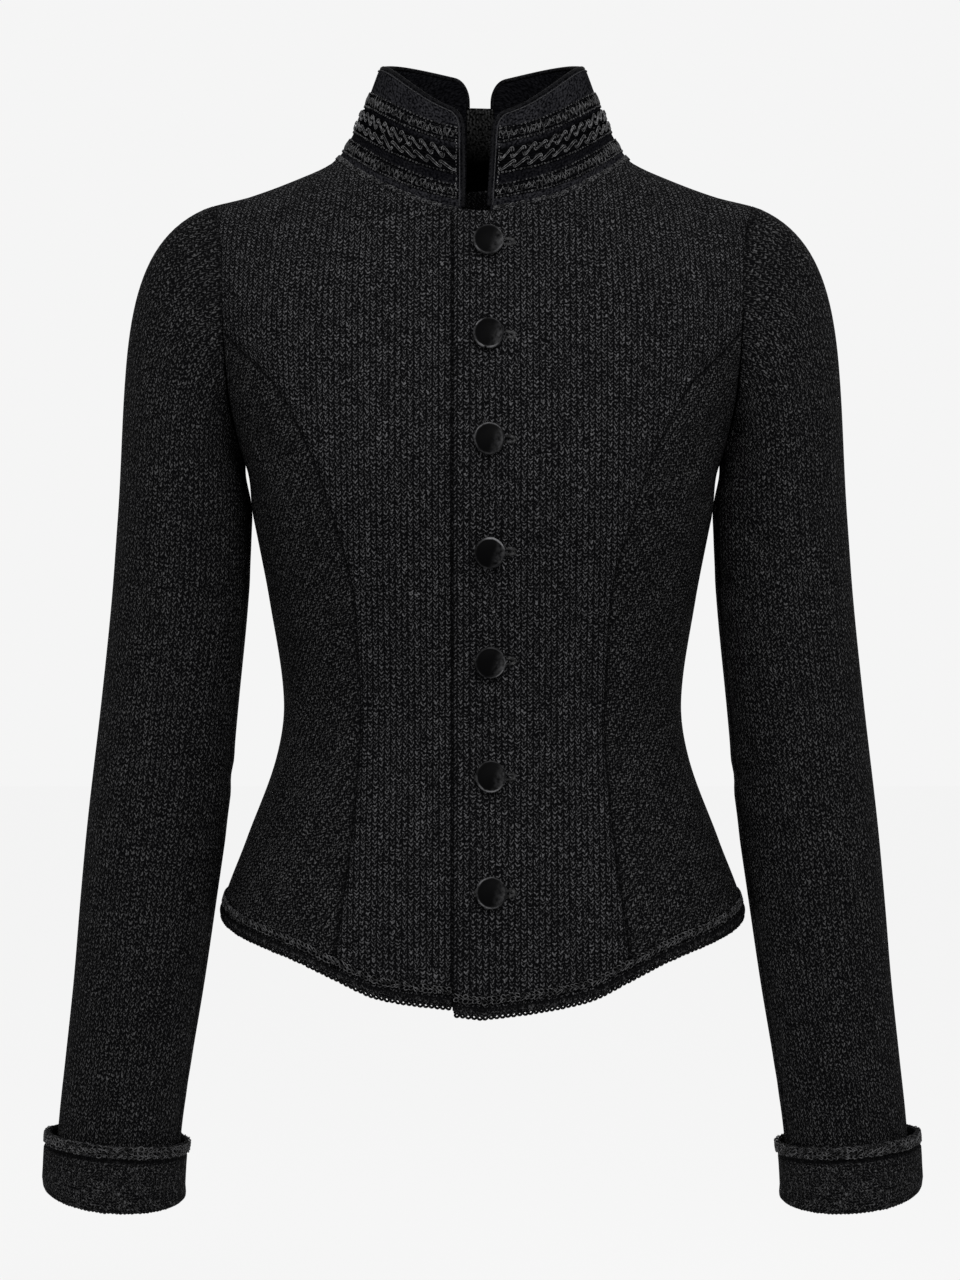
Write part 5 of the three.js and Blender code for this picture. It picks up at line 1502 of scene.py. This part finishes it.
def makeButton(number, z):
    # the profile turned round the cloth's normal, a little narrower than tall
    heights = buttons["heights"]
    share = (z - heights[0]) / (heights[-1] - heights[0])
    x = buttons["across"][0] + (buttons["across"][1] - buttons["across"][0]) * share
    turn = turnAt(x, z)
    normal = bodyNormal(turn, z)
    place = bodyPoint(turn, z) + normal * (cloth["overLift"] + buttons["lift"])
    sideways = unit(np.cross(np.array([0, 0, 1.0]), normal))
    upright = np.cross(normal, sideways)
    angle = 2 * np.pi * np.arange(buttons["segments"]) / buttons["segments"]
    radius = np.array(buttons["radius"])[:, None, None]
    up = np.array(buttons["up"])[:, None, None]
    # cloth gathers a little where it turns over the rim
    spin = angle + 0.6 * number
    uneven = 1 + 0.004 * np.sin(9 * spin) + 0.003 * np.sin(17 * spin + 1)
    ring = ((buttons["narrow"] * np.cos(angle) * uneven)[None, :, None] * sideways
            + (buttons["tall"] * np.sin(angle) * uneven)[None, :, None] * upright)
    dome = 0.15 * np.sin(2 * spin + number)[None, :, None] * (radius / 9.6) * (up > 4)
    points = (place + radius * ring + (up + dome) * normal).reshape(-1, 3)
    rows, columns = len(buttons["radius"]), buttons["segments"]
    faces = gridFaces(rows, columns, closed=True)
    flat = np.stack(np.broadcast_arrays(radius[..., 0] * np.cos(spin), radius[..., 0] * np.sin(spin)), -1)
    uv = flat.reshape(-1, 2) + number * 31
    # the rows on the axis close to a single point
    keep = np.concatenate([[0], np.arange(columns, (rows - 1) * columns), [(rows - 1) * columns]])
    index = np.zeros(rows * columns, int)
    index[keep] = np.arange(len(keep))
    index[:columns] = 0
    index[(rows - 1) * columns:] = len(keep) - 1
    faceList = []
    for face in index[faceOut(points, faces)].tolist():
        corners = list(dict.fromkeys(face))
        if len(corners) > 2:
            faceList.append(corners)
    # a painted sheen towards the lower right, and painted highlights on the rim in one or two arcs
    lower = radius[..., 0] * (np.cos(angle) * 0.95 - np.sin(angle) * 0.3)
    paintedSheen = smoothStep(1, 11, lower) * (radius[..., 0] < 8.9)
    rimHighlights = np.clip(np.sin(angle + 1.7 * number), 0, 1)**3
    rimHighlights = rimHighlights + 0.8 * np.clip(np.sin(angle + 3.6 + 0.9 * number), 0, 1)**4
    shade = (paintedSheen + (0.2 + rimHighlights) * (radius[..., 0] >= 8.9)).reshape(-1)
    piece = addMesh(f"button{number}", points[keep], faceList, uv[keep], buttonCloth,
                    [f"button_{number}"], shade[keep])
    # the outermost faces of the front have the rim's material, which carries the painted highlights
    piece.data.materials.append(buttonRimHighlight)
    centres = np.empty((len(piece.data.polygons), 3))
    piece.data.polygons.foreach_get("center", centres.ravel())
    away = centres / mm - place
    height = away @ normal
    fromAxis = np.linalg.norm(away - height[:, None] * normal, axis=1)
    onRim = (fromAxis > buttons["rimFrom"]) & (height > buttons["rimAbove"])
    piece.data.polygons.foreach_set("material_index", onRim.astype(np.int32))


def buttonhole(number, z):
    # stitches side by side round a long oval, each a short cord across its edge
    phase = 2 * np.pi * (np.arange(hole["stitches"])[:, None] + 0.5) / hole["stitches"]
    middle = (hole["left"] + hole["right"]) / 2
    half = (hole["right"] - hole["left"]) / 2
    t = np.linspace(0, 1, 4)[None]
    ragged = 1 + 0.16 * rng.standard_normal((hole["stitches"], 1))
    rise = hole["halfHeight"] * (0.35 + 0.65 * t * np.clip(ragged, 0.75, 1.3))

    def squared(wave, power):
        return np.sign(wave) * np.abs(wave)**power
    x = middle + (half - hole["halfHeight"] + rise) * squared(np.cos(phase), 0.35)
    height = z + rise * squared(np.sin(phase), 0.6)
    turn = turnAt(x, height)
    normal = bodyNormal(turn, height)
    out = cloth["overLift"] + 0.1 + 0.35 * np.sin(np.pi * t) + 0 * x
    paths = bodyPoint(turn, height) + normal * out[..., None]
    tubes(f"buttonhole{number}", paths, normal, hole["cord"], thread)


for number, height in enumerate(buttons["heights"], 1):
    makeButton(number, height)
    buttonhole(number, height)
print("buttons made")


# Stage, lights and camera
stage = {"half": 14.0, "level": -0.95, "floor": 0.12, "floorGlow": 0.79, "surroundings": 0.913}
lamps = {
    "keyLight": {"place": (0.65, -1.9, 1.25), "aim": (0, 0, -0.15), "size": 0.9, "power": 62},
    "fillLight": {"place": (-1.1, -2.2, 0.6), "aim": (0, 0, -0.3), "size": 1.2, "power": 22},
}
view = {"distance": 2.4, "height": -0.3104, "side": -0.0016, "lens": 105.47, "sensor": 36}


def addFloor():
    half, level = stage["half"], stage["level"]
    mesh = bpy.data.meshes.new("floor")
    mesh.from_pydata([(-half, -half, level), (half, -half, level), (half, half, level), (-half, half, level)],
                     [], [(0, 1, 2, 3)])
    floor = bpy.data.objects.new("floor", mesh)
    bpy.context.collection.objects.link(floor)
    material, _, shader = startMaterial("paleFloor", 0.9, 0.0)
    shader.inputs["Base Color"].default_value = (stage["floor"], stage["floor"], stage["floor"], 1)
    shader.inputs["Emission Color"].default_value = (1, 1, 1, 1)
    shader.inputs["Emission Strength"].default_value = stage["floorGlow"]
    mesh.materials.append(material)


def addLights():
    level = stage["surroundings"]
    world = bpy.data.worlds.new("softLight")
    world.use_nodes = True
    world.node_tree.nodes["Background"].inputs[0].default_value = (level, level, level, 1)
    bpy.context.scene.world = world
    for name, row in lamps.items():
        light = bpy.data.lights.new(name, "AREA")
        light.shape = "DISK"
        light.size = row["size"]
        light.energy = row["power"]
        lamp = bpy.data.objects.new(name, light)
        lamp.location = row["place"]
        direction = np.array(row["aim"]) - np.array(row["place"])
        pitch = math.acos(-direction[2] / np.linalg.norm(direction))
        lamp.rotation_euler = (pitch, 0, math.atan2(-direction[0], direction[1]))
        bpy.context.collection.objects.link(lamp)


def addCamera():
    lens = bpy.data.cameras.new("photoView")
    lens.lens = view["lens"]
    lens.sensor_width = view["sensor"]
    camera = bpy.data.objects.new("photoView", lens)
    camera.location = (view["side"], -view["distance"], view["height"])
    camera.rotation_euler = (quarterTurn, 0, 0)
    bpy.context.collection.objects.link(camera)
    bpy.context.scene.camera = camera


addFloor()
addLights()
addCamera()
bpy.context.scene.view_settings.view_transform = "Standard"
print("stage, lights and camera set")
